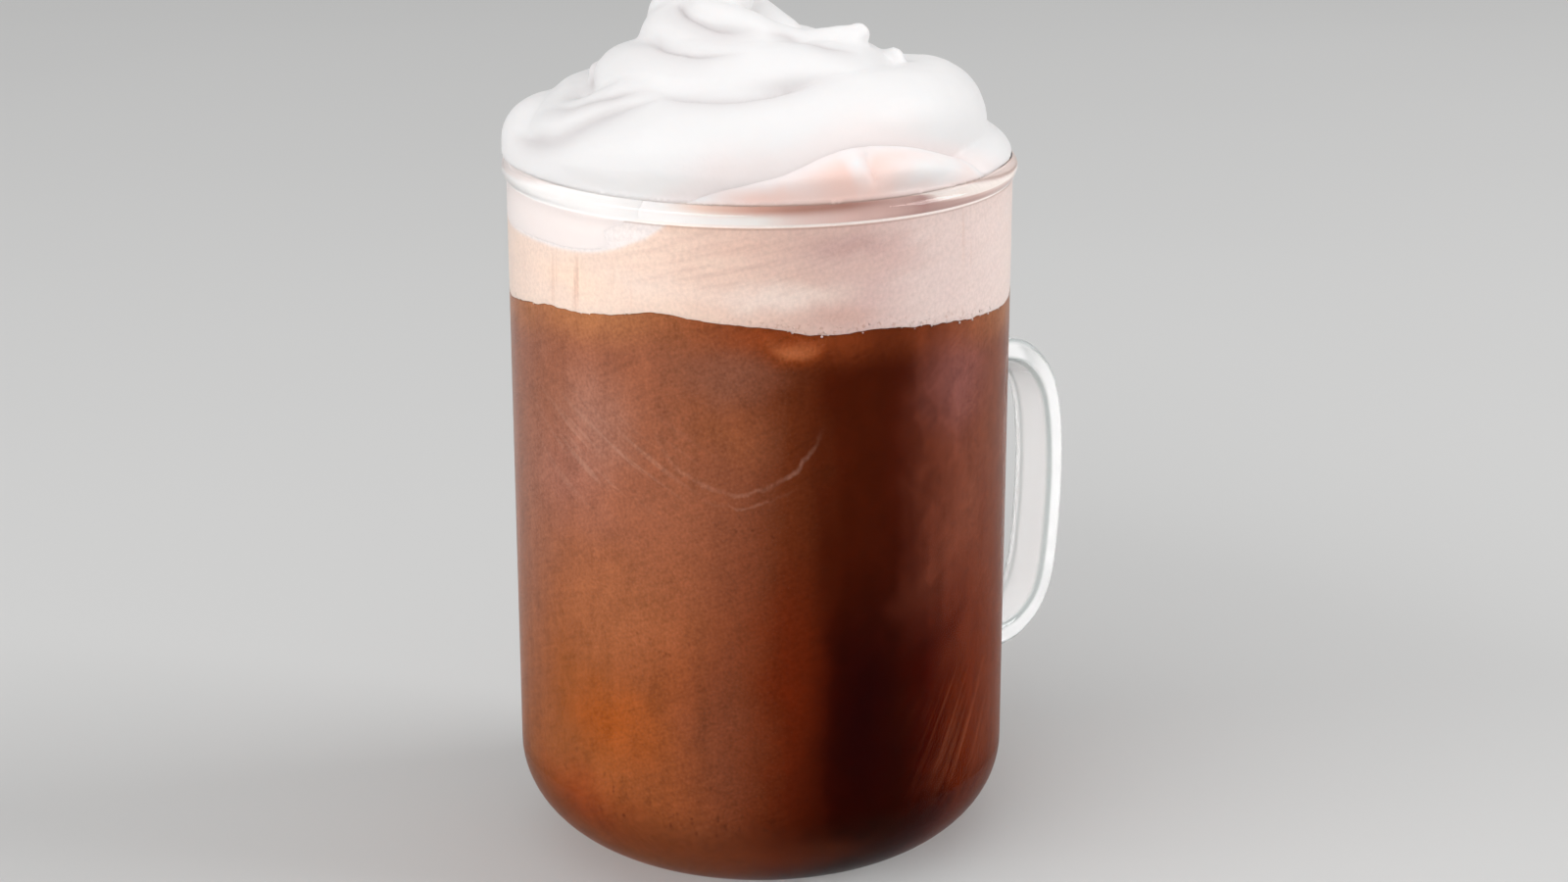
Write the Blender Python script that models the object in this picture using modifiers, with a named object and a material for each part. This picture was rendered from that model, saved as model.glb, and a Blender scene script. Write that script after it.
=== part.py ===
"""Caffe mocha in its glass mug: the mug with its handle, the drink, the milk foam that floats on it
and the whipped cream heaped above the rim. The mug stands on z = 0 with its axis on Z and its
handle along +X."""

import math

import bmesh
import bpy
import numpy as np

# Every size below is in millimetres, and MM turns it into metres.
MM = 0.001
GAP = 0.3

# Glass mug
RIM_HEIGHT = 118.65
WALL_RADIUS = 41.6
WALL_THICKNESS = 3.0
INSIDE_RADIUS = WALL_RADIUS - WALL_THICKNESS
BASE_THICKNESS = 6.5
CORNER_WIDTH = 20.0
CORNER_HEIGHT = 16.5
INSIDE_CORNER_WIDTH = 18.6
INSIDE_CORNER_HEIGHT = 13.0
CORNER_SEGMENTS = 7
RIM_RADIUS = 42.4
RIM_BEAD_HEIGHT = 3.2
RIM_SEGMENTS = 8
RIM_FOOT_ANGLE = -35.0
MUG_STEPS = 60

# Handle: a flat strap with rounded edges
HANDLE_THICKNESS = 4.4
HANDLE_WIDTH = 9.2
HANDLE_EDGE_RADIUS = 1.3
HANDLE_EDGE_SEGMENTS = 2
# Its route, as (distance from the mug's axis, height, how much the strap is widened there)
HANDLE_ROUTE = (
    (40.3, 75.9, 1.32),
    (45.0, 75.7, 1.10),
    (54.0, 75.2, 1.00),
    (62.6, 72.6, 1.00),
    (68.6, 66.0, 1.00),
    (71.0, 55.0, 1.00),
    (70.9, 40.0, 1.00),
    (68.7, 26.6, 1.00),
    (62.5, 20.4, 1.00),
    (53.0, 19.0, 1.00),
    (45.0, 18.7, 1.10),
    (40.3, 18.5, 1.32),
)
HANDLE_POINTS = 32

# The filling was poured and piped with the handle this many degrees behind the right-hand side.
SERVING_TURN = 43.0

# Drink: mean level and its slow waves, as (waves round the mug, height, direction of the crest)
DRINK_LEVEL = 98.1
DRINK_WAVES = ((1, 0.75, -71.0), (2, 1.75, 137.0), (3, 0.55, 53.0), (4, 0.75, 168.0), (5, 0.45, -155.0))
DRINK_STEPS = 48
DRINK_CORNER_SEGMENTS = 5
DRINK_RINGS = 3

# Milk foam: its top lies low under the cream at the left and climbs to the rim from the front round
FOAM_LOW = 108.8
FOAM_MIDDLE = 112.0
FOAM_HIGH = 116.4
FOAM_CLIMB = (-150.0, -110.0)
FOAM_FALL = (60.0, 120.0)
FOAM_STEPS = 56
FOAM_RINGS = 4
SWELL_POINTS = 26
SWELL_RING = 3

# Folds of cream and foam, as (direction, distance from the axis, height over the rim, thickness / 2)
FOAM_SWELL = (
    (-118.0, 37.4, -5.5, 3.2),
    (-108.0, 37.0, -3.4, 4.6),
    (-97.0, 35.8, -1.6, 6.2),
    (-84.0, 34.0, -0.2, 7.6),
    (-71.0, 33.2, 0.6, 8.3),
    (-58.0, 33.6, -0.2, 8.0),
    (-44.0, 34.8, -1.9, 7.1),
    (-29.0, 36.0, -4.0, 6.2),
    (-14.0, 37.0, -5.6, 5.0),
)
LOWER_FOLD = (
    (120.0, 30.0, -3.4, 7.0),
    (140.0, 31.8, -1.4, 7.6),
    (160.0, 33.2, 0.4, 7.6),
    (180.0, 34.3, 1.7, 8.1),
    (197.0, 34.2, -0.6, 8.2),
    (214.0, 32.4, -0.6, 9.2),
    (231.0, 29.4, 1.3, 11.4),
    (247.0, 28.3, 2.3, 12.5),
    (272.0, 27.6, 3.0, 12.5),
    (292.0, 26.2, 5.4, 11.2),
    (315.0, 25.4, 6.6, 10.4),
    (345.0, 26.8, 5.6, 10.3),
    (363.0, 27.0, 5.2, 10.2),
    (385.0, 28.0, 3.0, 10.8),
    (410.0, 28.6, 1.8, 10.8),
    (435.0, 28.0, 2.8, 11.4),
    (462.0, 28.6, 1.6, 11.0),
    (490.0, 28.2, 1.2, 10.9),
    (515.0, 27.6, 1.8, 10.4),
    (540.0, 27.2, 3.4, 9.5),
    (558.0, 31.0, 3.0, 8.5),
    (573.0, 30.6, 4.9, 8.4),
    (591.0, 26.0, 8.4, 8.2),
    (606.0, 21.5, 9.6, 7.0),
)
MIDDLE_FOLD = (
    (150.0, 13.0, 3.0, 7.0),
    (168.0, 16.6, 7.6, 8.4),
    (186.0, 18.4, 9.4, 9.6),
    (225.0, 19.5, 9.8, 11.3),
    (265.0, 18.9, 9.8, 11.4),
    (300.0, 18.0, 9.6, 11.0),
    (335.0, 14.8, 9.8, 10.0),
    (365.0, 12.0, 9.8, 9.6),
    (395.0, 12.4, 8.6, 9.6),
    (430.0, 13.0, 8.8, 10.2),
    (465.0, 12.0, 10.6, 9.8),
    (500.0, 11.0, 12.0, 9.2),
    (530.0, 9.0, 12.6, 8.4),
)
FOLD_POINTS = 64
FOLD_RING = 5
NOSE_STEPS = 5
NOSE_TIP = 0.02
CREAM_VOXEL = 1.3
CREAM_SMOOTHING = 2
CREAM_FACES_KEPT = 0.20

# Small folds and tails, as (right, away, height over the rim, thickness / 2) from where the mug is served
TOP_FOLD = (
    (-4.0, 8.0, 14.0, 6.0),
    (-11.4, 4.6, 17.6, 6.0),
    (-13.0, -3.0, 18.8, 6.4),
    (-11.5, -9.5, 19.4, 7.2),
    (-5.5, -12.6, 18.8, 7.6),
    (1.5, -11.8, 17.2, 6.2),
    (7.5, -10.2, 17.0, 4.8),
    (12.0, -9.4, 18.3, 3.8),
    (14.8, -8.8, 19.7, 2.7),
    (16.8, -8.2, 20.9, 1.3),
)
TIP_CURL = (
    (2.0, 3.0, 16.5, 6.0),
    (-4.0, 6.0, 20.0, 6.2),
    (-10.6, 3.4, 21.2, 6.2),
    (-12.0, -2.4, 22.4, 5.9),
    (-8.0, -5.2, 24.4, 5.0),
    (-4.4, -1.6, 26.4, 3.8),
    (-7.4, 1.4, 28.6, 2.6),
    (-9.8, 0.2, 30.0, 1.5),
    (-9.8, -1.4, 30.8, 0.6),
)
LEFT_CORNER = (
    (-15.0, -5.0, 9.0, 7.0),
    (-22.0, -4.6, 12.4, 4.4),
    (-26.2, -4.0, 14.2, 1.6),
)
RIGHT_TAIL = (
    (12.0, -5.0, 8.0, 5.0),
    (17.6, -5.0, 12.2, 4.0),
    (21.0, -5.0, 15.2, 2.4),
    (22.8, -5.0, 17.3, 0.8),
)
RIGHT_SHOULDER = (
    (30.0, 21.0, -4.0, 6.0),
    (34.8, 7.0, -2.0, 6.4),
    (34.6, -5.0, -1.6, 6.6),
    (32.0, -16.0, -2.4, 5.8),
)
BACK_FOLD = (
    (29.0, 14.0, 0.0, 6.0),
    (21.0, 25.0, 4.0, 6.6),
    (6.0, 28.0, 8.4, 6.2),
    (-9.0, 22.5, 12.4, 5.6),
    (-17.0, 13.0, 14.0, 4.0),
)

# Cream under the folds
CORE_RADIUS = 33.0
CORE_HEIGHT = 19.0
PLUG_RADIUS = 40.0
PLUG_TOP_DEPTH = 0.8
PLUG_DEPTH = 14.0
SPREAD_LIMIT = 42.3

COLLECTION = "caffe_mocha"
CUTTERS = "cutters"
MATERIALS = {
    "clear_glass": ((0.92, 0.94, 0.94), 0.03, 0.0),
    "mocha_drink": ((0.22, 0.075, 0.035), 0.30, 0.0),
    "milk_foam": ((0.86, 0.68, 0.58), 0.60, 0.0),
    "whipped_cream": ((0.93, 0.91, 0.90), 0.55, 0.0),
}


def clear_scene():
    for thing in list(bpy.data.objects):
        bpy.data.objects.remove(thing, do_unlink=True)


def new_collection(name, hidden):
    collection = bpy.data.collections.new(name)
    bpy.context.scene.collection.children.link(collection)
    collection.hide_render = hidden
    return collection


def new_material(name):
    colour, roughness, metallic = MATERIALS[name]
    material = bpy.data.materials.new(name)
    material.use_nodes = True
    shader = material.node_tree.nodes["Principled BSDF"]
    shader.inputs["Base Color"].default_value = (*colour, 1.0)
    shader.inputs["Roughness"].default_value = roughness
    shader.inputs["Metallic"].default_value = metallic
    return material


def placed(name, data, collection):
    thing = bpy.data.objects.new(name, data)
    collection.objects.link(thing)
    return thing


def as_cutter(thing):
    thing.hide_render = True
    thing.display_type = "WIRE"
    return thing


def evaluated_mesh(thing):
    bpy.context.view_layer.update()
    graph = bpy.context.evaluated_depsgraph_get()
    return bpy.data.meshes.new_from_object(thing.evaluated_get(graph))


def solidified(thing, collection):
    """A plain mesh object in place of a curve or of an object with modifiers."""
    mesh = evaluated_mesh(thing)
    shape = bmesh.new()
    shape.from_mesh(mesh)
    bmesh.ops.remove_doubles(shape, verts=shape.verts, dist=0.001 * MM)
    bmesh.ops.recalc_face_normals(shape, faces=shape.faces)
    shape.to_mesh(mesh)
    shape.free()
    name, matrix = thing.name, thing.matrix_world.copy()
    bpy.data.objects.remove(thing, do_unlink=True)
    result = placed(name, mesh, collection)
    result.matrix_world = matrix
    return result


def turned(name, profile, steps, collection):
    """A round solid from a profile of (radius, height), which ends on the axis at both ends."""
    mesh = bpy.data.meshes.new(name)
    points = [(radius * MM, 0.0, height * MM) for radius, height in profile]
    mesh.from_pydata(points, [(i, i + 1) for i in range(len(points) - 1)], [])
    thing = placed(name, mesh, collection)
    screw = thing.modifiers.new("turn", "SCREW")
    screw.angle = math.tau
    screw.steps = steps
    screw.render_steps = steps
    screw.use_merge_vertices = True
    screw.merge_threshold = 0.00001
    screw.use_smooth_shade = True
    return solidified(thing, collection)


def arc(centre, radii, start, end, count):
    """Points of an elliptical arc, from one angle in degrees to the other, both ends included."""
    angles = np.radians(np.linspace(start, end, count + 1))
    return [(centre[0] + radii[0] * math.cos(a), centre[1] + radii[1] * math.sin(a)) for a in angles]


def smooth_through(stations, count):
    """Points of a Catmull-Rom curve through the stations, whatever their columns hold."""
    knots = np.array(stations, float)
    knots = np.vstack([2 * knots[0] - knots[1], knots, 2 * knots[-1] - knots[-2]])
    places = np.linspace(0.0, len(stations) - 1.0, count)
    spans = np.minimum(places.astype(int), len(stations) - 2)
    t = (places - spans)[:, None]
    before, start, end, after = (knots[spans + i] for i in range(4))
    return 0.5 * (
        2 * start
        + (end - before) * t
        + (2 * before - 5 * start + 4 * end - after) * t**2
        + (3 * start - before - 3 * end + after) * t**3
    )


def rounded_ends(points, radii):
    """The same route with a round nose added at each end."""
    points, radii = np.array(points, float), np.array(radii, float)
    turns = np.radians(np.linspace(0.0, 90.0, NOSE_STEPS + 1))[1:]
    noses = []
    for end, inner in ((0, 1), (-1, -2)):
        outward = points[end] - points[inner]
        outward /= np.linalg.norm(outward)
        reach = radii[end] * np.sin(turns)
        noses.append((points[end] + outward * reach[:, None], radii[end] * np.maximum(np.cos(turns), NOSE_TIP)))
    (first, first_radii), (last, last_radii) = noses
    return np.vstack([first[::-1], points, last]), np.concatenate([first_radii[::-1], radii, last_radii])


def tube(name, points, radii, ring, collection):
    """A solid rope through the points, as thick at each as its radius says."""
    curve = bpy.data.curves.new(name, "CURVE")
    curve.dimensions = "3D"
    curve.bevel_depth = MM
    curve.bevel_resolution = ring
    curve.use_fill_caps = True
    spline = curve.splines.new("POLY")
    spline.points.add(len(points) - 1)
    for knot, point, radius in zip(spline.points, points, radii):
        knot.co = (*(value * MM for value in point), 1.0)
        knot.radius = radius
    return solidified(placed(name, curve, collection), collection)


def combine(thing, other, operation, name, solver="EXACT"):
    boolean = thing.modifiers.new(name, "BOOLEAN")
    boolean.operation = operation
    boolean.solver = solver
    boolean.object = other


def served(right, away, height):
    """A place given as seen from where the mug is served, in the mug's own frame."""
    turn = math.radians(-SERVING_TURN)
    x = right * math.cos(turn) - away * math.sin(turn)
    y = right * math.sin(turn) + away * math.cos(turn)
    return x, y, RIM_HEIGHT + height


def round_the_mug(stations, count):
    """Places and thicknesses along a fold whose stations are directions seen from where the mug is served."""
    rows = smooth_through(stations, count)
    angles = np.radians(rows[:, 0])
    places = zip(rows[:, 1] * np.cos(angles), rows[:, 1] * np.sin(angles), rows[:, 2])
    return [served(*place) for place in places], rows[:, 3]


def foam_swell(name, collection, grow):
    points, radii = round_the_mug(FOAM_SWELL, SWELL_POINTS)
    return as_cutter(tube(name, points, radii + grow, SWELL_RING, collection))


def ring_fold(name, stations, collection):
    points, radii = round_the_mug(stations, FOLD_POINTS)
    return tube(name, *rounded_ends(points, radii), FOLD_RING, collection)


def free_fold(name, stations, collection):
    rows = smooth_through(stations, FOLD_POINTS // 2)
    ends = rounded_ends([served(*row[:3]) for row in rows], rows[:, 3])
    return tube(name, *ends, FOLD_RING, collection)


def served_direction(x, y):
    return (math.degrees(math.atan2(y, x)) + SERVING_TURN + 180.0) % 360.0 - 180.0


def eased(value, low, high):
    t = min(max((value - low) / (high - low), 0.0), 1.0)
    return t * t * (3 - 2 * t)


def drink_wave(direction):
    return sum(height * math.cos(math.radians(n * direction - crest)) for n, height, crest in DRINK_WAVES)


def foam_edge(direction):
    """Height of the foam's top where it meets the glass."""
    start, end = FOAM_CLIMB
    climb = min(max((direction - start) / (end - start), 0.0), 1.0) ** 3
    return FOAM_LOW + (FOAM_HIGH - FOAM_LOW) * min(climb, 1.0 - eased(direction, *FOAM_FALL))


def inside_profile(clearance, segments):
    """The drink's outer side, from under its top edge down to the middle of its floor."""
    radius = INSIDE_RADIUS - clearance
    width, height = INSIDE_CORNER_WIDTH - clearance, INSIDE_CORNER_HEIGHT - clearance
    floor = BASE_THICKNESS + clearance
    corner = arc((radius - width, floor + height), (width, height), 0.0, -90.0, segments)
    return corner + [(0.0, floor)]


def mug_body(collection):
    corner = arc((WALL_RADIUS - CORNER_WIDTH, CORNER_HEIGHT), (CORNER_WIDTH, CORNER_HEIGHT), 0, -90, CORNER_SEGMENTS)
    bead_width = (RIM_RADIUS - INSIDE_RADIUS) / 2
    bead_rise = RIM_BEAD_HEIGHT / 2
    bead_centre = (INSIDE_RADIUS + bead_width, RIM_HEIGHT - bead_rise)
    bead = arc(bead_centre, (bead_width, bead_rise), 180.0, RIM_FOOT_ANGLE, RIM_SEGMENTS)
    inside = inside_profile(0.0, CORNER_SEGMENTS)[::-1]
    foot = [(WALL_RADIUS, RIM_HEIGHT - RIM_BEAD_HEIGHT)]
    return turned("glass_mug", inside + bead + foot + corner + [(0.0, 0.0)], MUG_STEPS, collection)


def strap_section(collection):
    """The handle's cross-section, a rectangle with rounded corners."""
    half_width = HANDLE_WIDTH / 2 - HANDLE_EDGE_RADIUS
    half_thickness = HANDLE_THICKNESS / 2 - HANDLE_EDGE_RADIUS
    outline = []
    for end, side, start in ((1, 1, 0.0), (-1, 1, 90.0), (-1, -1, 180.0), (1, -1, 270.0)):
        centre = (end * half_width, side * half_thickness)
        radii = (HANDLE_EDGE_RADIUS, HANDLE_EDGE_RADIUS)
        outline += arc(centre, radii, start, start + 90.0, HANDLE_EDGE_SEGMENTS)
    curve = bpy.data.curves.new("strap_section", "CURVE")
    curve.dimensions = "2D"
    spline = curve.splines.new("POLY")
    spline.points.add(len(outline) - 1)
    spline.use_cyclic_u = True
    for knot, (x, y) in zip(spline.points, outline):
        knot.co = (x * MM, y * MM, 0.0, 1.0)
    return as_cutter(placed("strap_section", curve, collection))


def handle(collection):
    rows = smooth_through(HANDLE_ROUTE, HANDLE_POINTS)
    curve = bpy.data.curves.new("handle", "CURVE")
    curve.dimensions = "3D"
    curve.bevel_mode = "OBJECT"
    curve.bevel_object = strap_section(collection)
    curve.use_fill_caps = True
    spline = curve.splines.new("POLY")
    spline.points.add(HANDLE_POINTS - 1)
    for knot, (distance, height, widening) in zip(spline.points, rows):
        knot.co = (distance * MM, 0.0, height * MM, 1.0)
        knot.radius = widening
    return solidified(placed("handle", curve, collection), collection)


def rim_keep_out(collection):
    """The glass and what lies outside it, up to just over the rim, which the filling stays clear of."""
    inner, outer = INSIDE_RADIUS - GAP, 2 * RIM_RADIUS
    low, high = RIM_HEIGHT - 2 * PLUG_DEPTH, RIM_HEIGHT + GAP
    mesh = bpy.data.meshes.new("rim_keep_out")
    corners = [(inner, low), (inner, high), (outer, high), (outer, low), (inner, low)]
    mesh.from_pydata([(r * MM, 0, z * MM) for r, z in corners], [(i, i + 1) for i in range(4)], [])
    thing = placed("rim_keep_out", mesh, collection)
    screw = thing.modifiers.new("turn", "SCREW")
    screw.angle = math.tau
    screw.steps = MUG_STEPS
    screw.render_steps = MUG_STEPS
    screw.use_merge_vertices = True
    screw.merge_threshold = 0.00001
    return as_cutter(solidified(thing, collection))


def drink(collection):
    side = inside_profile(GAP, DRINK_CORNER_SEGMENTS)
    radius = side[0][0]
    top = [(radius * i / DRINK_RINGS, DRINK_LEVEL) for i in range(DRINK_RINGS + 1)]
    thing = turned("mocha", top + side, DRINK_STEPS, collection)
    for vertex in thing.data.vertices:
        x, y, z = vertex.co / MM
        if z > DRINK_LEVEL - 1.0:
            share = min(math.hypot(x, y) / radius, 1.0) ** 2
            vertex.co.z += MM * share * drink_wave(served_direction(x, y))
    return thing


def foam_plug(name, collection, clearance, grow):
    radius = INSIDE_RADIUS - clearance
    base = DRINK_LEVEL + GAP
    rings = [radius * i / FOAM_RINGS for i in range(FOAM_RINGS + 1)]
    profile = [(r, FOAM_MIDDLE) for r in rings] + [(r, base) for r in reversed(rings)]
    thing = turned(name, profile, FOAM_STEPS, collection)
    for vertex in thing.data.vertices:
        x, y, z = vertex.co / MM
        direction = served_direction(x, y)
        share = min(math.hypot(x, y) / radius, 1.0) ** 2
        if z > (FOAM_MIDDLE + base) / 2:
            vertex.co.z += MM * (grow + share * (foam_edge(direction) - FOAM_MIDDLE))
        else:
            vertex.co.z += MM * share * drink_wave(direction)
    return thing


def milk_foam(collection, cutters, keep_out):
    foam = foam_plug("milk_foam", collection, GAP, 0.0)
    combine(foam, foam_swell("foam_swell", cutters, 0.0), "UNION", "swell")
    combine(foam, keep_out, "DIFFERENCE", "glass")
    return foam


def foam_keep_out(cutters):
    """The foam again, a little larger, which is cut out of the cream's underside."""
    foam = foam_plug("foam_keep_out", cutters, -GAP, GAP)
    combine(foam, foam_swell("swell_keep_out", cutters, GAP), "UNION", "swell")
    return as_cutter(solidified(foam, cutters))


def cream_core(cutters):
    """The body of cream that the folds lie on, and what is pressed down into the glass."""
    bpy.ops.mesh.primitive_uv_sphere_add(segments=48, ring_count=24, radius=MM)
    core = bpy.context.object
    core.name = "cream_core"
    core.data.transform(core.matrix_world)
    for vertex in core.data.vertices:
        vertex.co.x *= CORE_RADIUS
        vertex.co.y *= CORE_RADIUS
        vertex.co.z = vertex.co.z * CORE_HEIGHT + RIM_HEIGHT * MM
    top, bottom = RIM_HEIGHT - PLUG_TOP_DEPTH, RIM_HEIGHT - PLUG_DEPTH
    profile = [(0.0, top), (PLUG_RADIUS, top), (PLUG_RADIUS, bottom), (0.0, bottom)]
    return [core, turned("cream_plug", profile, 64, cutters)]


def joined(name, things, collection):
    shape = bmesh.new()
    for thing in things:
        shape.from_mesh(thing.data)
        bpy.data.objects.remove(thing, do_unlink=True)
    mesh = bpy.data.meshes.new(name)
    shape.to_mesh(mesh)
    shape.free()
    return placed(name, mesh, collection)


def whipped_cream(collection, cutters, keep_outs):
    folds = cream_core(cutters)
    folds.append(ring_fold("lower_fold", LOWER_FOLD, cutters))
    folds.append(ring_fold("middle_fold", MIDDLE_FOLD, cutters))
    for name, stations in (
        ("top_fold", TOP_FOLD),
        ("tip_curl", TIP_CURL),
        ("left_corner", LEFT_CORNER),
        ("right_tail", RIGHT_TAIL),
        ("right_shoulder", RIGHT_SHOULDER),
        ("back_fold", BACK_FOLD),
    ):
        folds.append(free_fold(name, stations, cutters))
    cream = joined("whipped_cream", folds, collection)
    remesh = cream.modifiers.new("one_body", "REMESH")
    remesh.mode = "VOXEL"
    remesh.voxel_size = CREAM_VOXEL * MM
    smooth = cream.modifiers.new("soft", "SMOOTH")
    smooth.factor = 0.5
    smooth.iterations = CREAM_SMOOTHING
    fewer = cream.modifiers.new("fewer_faces", "DECIMATE")
    fewer.ratio = CREAM_FACES_KEPT
    cream = solidified(cream, collection)
    for vertex in cream.data.vertices:
        spread = math.hypot(vertex.co.x, vertex.co.y) / MM
        if spread > SPREAD_LIMIT:
            vertex.co.x *= SPREAD_LIMIT / spread
            vertex.co.y *= SPREAD_LIMIT / spread
    for keep_out in keep_outs:
        combine(cream, keep_out, "DIFFERENCE", keep_out.name)
    return cream


def main():
    clear_scene()
    parts = new_collection(COLLECTION, False)
    cutters = new_collection(CUTTERS, True)
    mug = mug_body(parts)
    combine(mug, as_cutter(handle(cutters)), "UNION", "handle")
    keep_out = rim_keep_out(cutters)
    pieces = {
        "clear_glass": mug,
        "mocha_drink": drink(parts),
        "milk_foam": milk_foam(parts, cutters, keep_out),
        "whipped_cream": whipped_cream(parts, cutters, (keep_out, foam_keep_out(cutters))),
    }
    for material, thing in pieces.items():
        thing.data.materials.clear()
        thing.data.materials.append(new_material(material))
        thing.data.shade_smooth()


main()
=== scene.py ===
"""The looks of a caffe mocha: a clear glass mug with a strap handle, the hot drink in it, the milk
foam that floats on it, and the whipped cream heaped above the rim. Sizes are in millimetres, and
directions are degrees round the mug as it is served: 0 is its right-hand side and -90 is its front."""

import math

import bmesh
import bpy
import numpy as np
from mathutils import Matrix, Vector, noise
from mathutils.bvhtree import BVHTree


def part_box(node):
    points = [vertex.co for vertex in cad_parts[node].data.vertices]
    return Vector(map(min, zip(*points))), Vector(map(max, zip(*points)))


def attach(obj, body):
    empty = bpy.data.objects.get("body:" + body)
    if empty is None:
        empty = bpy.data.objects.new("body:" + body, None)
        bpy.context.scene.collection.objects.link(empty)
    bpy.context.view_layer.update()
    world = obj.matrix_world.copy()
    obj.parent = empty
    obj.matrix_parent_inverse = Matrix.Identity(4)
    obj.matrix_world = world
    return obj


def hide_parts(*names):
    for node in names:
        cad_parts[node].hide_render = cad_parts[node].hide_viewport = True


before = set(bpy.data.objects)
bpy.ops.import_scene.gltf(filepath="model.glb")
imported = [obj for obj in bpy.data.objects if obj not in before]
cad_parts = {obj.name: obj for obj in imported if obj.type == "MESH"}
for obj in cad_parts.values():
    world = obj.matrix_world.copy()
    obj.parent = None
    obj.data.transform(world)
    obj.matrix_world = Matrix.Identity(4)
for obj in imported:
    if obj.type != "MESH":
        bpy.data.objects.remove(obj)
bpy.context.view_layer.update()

MM = 0.001
# Places nearer to each other than this are the same, and points of one mesh are merged within this
CLOSE = 0.01
MERGED = 0.001
BODY = "root"
# The handle stands this many degrees behind the right-hand side.
SERVING_TURN = 43.0

# Glass mug: its outside comes from the solids, its wall and corners are the same real sizes
MUG_LOW, MUG_HIGH = (np.array(corner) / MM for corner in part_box("glass_mug"))
RIM_HEIGHT = MUG_HIGH[2]
RIM_RADIUS = -MUG_LOW[0]
RIM_OVERHANG = 0.8
WALL_RADIUS = RIM_RADIUS - RIM_OVERHANG
WALL_THICKNESS = 3.0
INSIDE_RADIUS = WALL_RADIUS - WALL_THICKNESS
BASE_THICKNESS = 6.5
GLASS_BASE_HEIGHT = 23.0
CORNER = (20.0, 16.5)
INSIDE_CORNER = (18.6, 13.0)
CORNER_SEGMENTS = 24
RIM_BEAD_HEIGHT = 3.2
BEAD_RADII = ((RIM_RADIUS - INSIDE_RADIUS) / 2, RIM_BEAD_HEIGHT / 2)
RIM_SEGMENTS = 28
RIM_FOOT_ANGLE = -35.0
MUG_STEPS = 160
SHARP_ANGLE = 38.0

# Its glass, as (name, refractive index, tint of what it reflects head on, clarity, whether its rounded edges
# get painted shade, the share of it that only bends light). The bare glass bends light as glass does, and
# less where the filling wets it, so that the filling stays unveiled and fills the wall.
HANDLE_GLASS, WALL_GLASS, BASE_GLASS, RIM_GLASS = range(4)
GLASSES = (
    ("bright_glass", 1.47, 1.0, 0.7, True, 0.0),
    ("wall_glass", 1.15, 0.3, 1.0, False, 0.6),
    ("base_glass", 1.3, 0.3, 1.0, False, 0.6),
    ("rim_glass", 1.45, 0.8, 1.0, False, 0.0),
)

# Handle: a flat strap with rounded edges, and its route as (distance from the axis, height, widening)
HANDLE_THICKNESS = 4.4
HANDLE_WIDTH = 9.2
HANDLE_EDGE_RADIUS = 1.3
HANDLE_EDGE_SEGMENTS = 6
HANDLE_ROUTE = (
    (40.3, 75.9, 1.32), (45, 75.7, 1.1), (54, 75.2, 1), (62.6, 72.6, 1), (68.6, 66, 1),
    (71, 55, 1), (70.9, 40, 1), (68.7, 26.6, 1), (62.5, 20.4, 1), (53, 19, 1),
    (45, 18.7, 1.1), (40.3, 18.5, 1.32),
)
HANDLE_POINTS = 120

# What fills the mug reaches this far into the glass, so that no air shows between them.
DRINK_BITE = 0.15
DRINK_BASE_BITE = 1.5
CREAM_BITE = 0.20
FOAM_BITE = 0.26

# Drink: mean level, and its waves as (waves round the mug, height, direction of the crest)
DRINK_LEVEL = 98.1
DRINK_WAVES = ((1, 0.75, -71.0), (2, 1.75, 137.0), (3, 0.55, 53.0), (4, 0.75, 168.0), (5, 0.45, -155.0))
# How far the foam sags into the drink beyond that, as (direction, millimetres)
DRINK_SAGS = (
    (-180, 0.5), (-148, 0), (-135, 1), (-125, 0.8), (-115, 0), (-100, 0.7), (-88, 0.4), (-79, 1),
    (-70, 0.8), (-62, 0.2), (-52, 0.6), (-38, 1.3), (-20, 1), (20, 0.5), (180, 0.5),
)
DRINK_UNDER_FOAM = 4.0
DRINK_STEPS = 160

# Milk foam: its top lies low under the cream at the left and climbs to the rim from the front round
FOAM_LOW = 108.8
FOAM_MIDDLE = 112.0
FOAM_HIGH = 116.4
FOAM_CLIMB = (-150.0, -110.0)
FOAM_FALL = (60.0, 120.0)
FOAM_STEPS = 180
FOAM_RINGS = 12
FOAM_VOXEL = 0.45
FOAM_SMOOTHING = 2
# How the lower edge of the foam wavers, as (size, rise and fall), and how far up that is felt
FOAM_WAVERS = ((2.2, 0.3), (1.1, 0.1))
WAVER_REACH = (1.0, 3.5)
# Foam whose top lies this far below its highest has cream over it
UNDER_CREAM = 0.5

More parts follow.
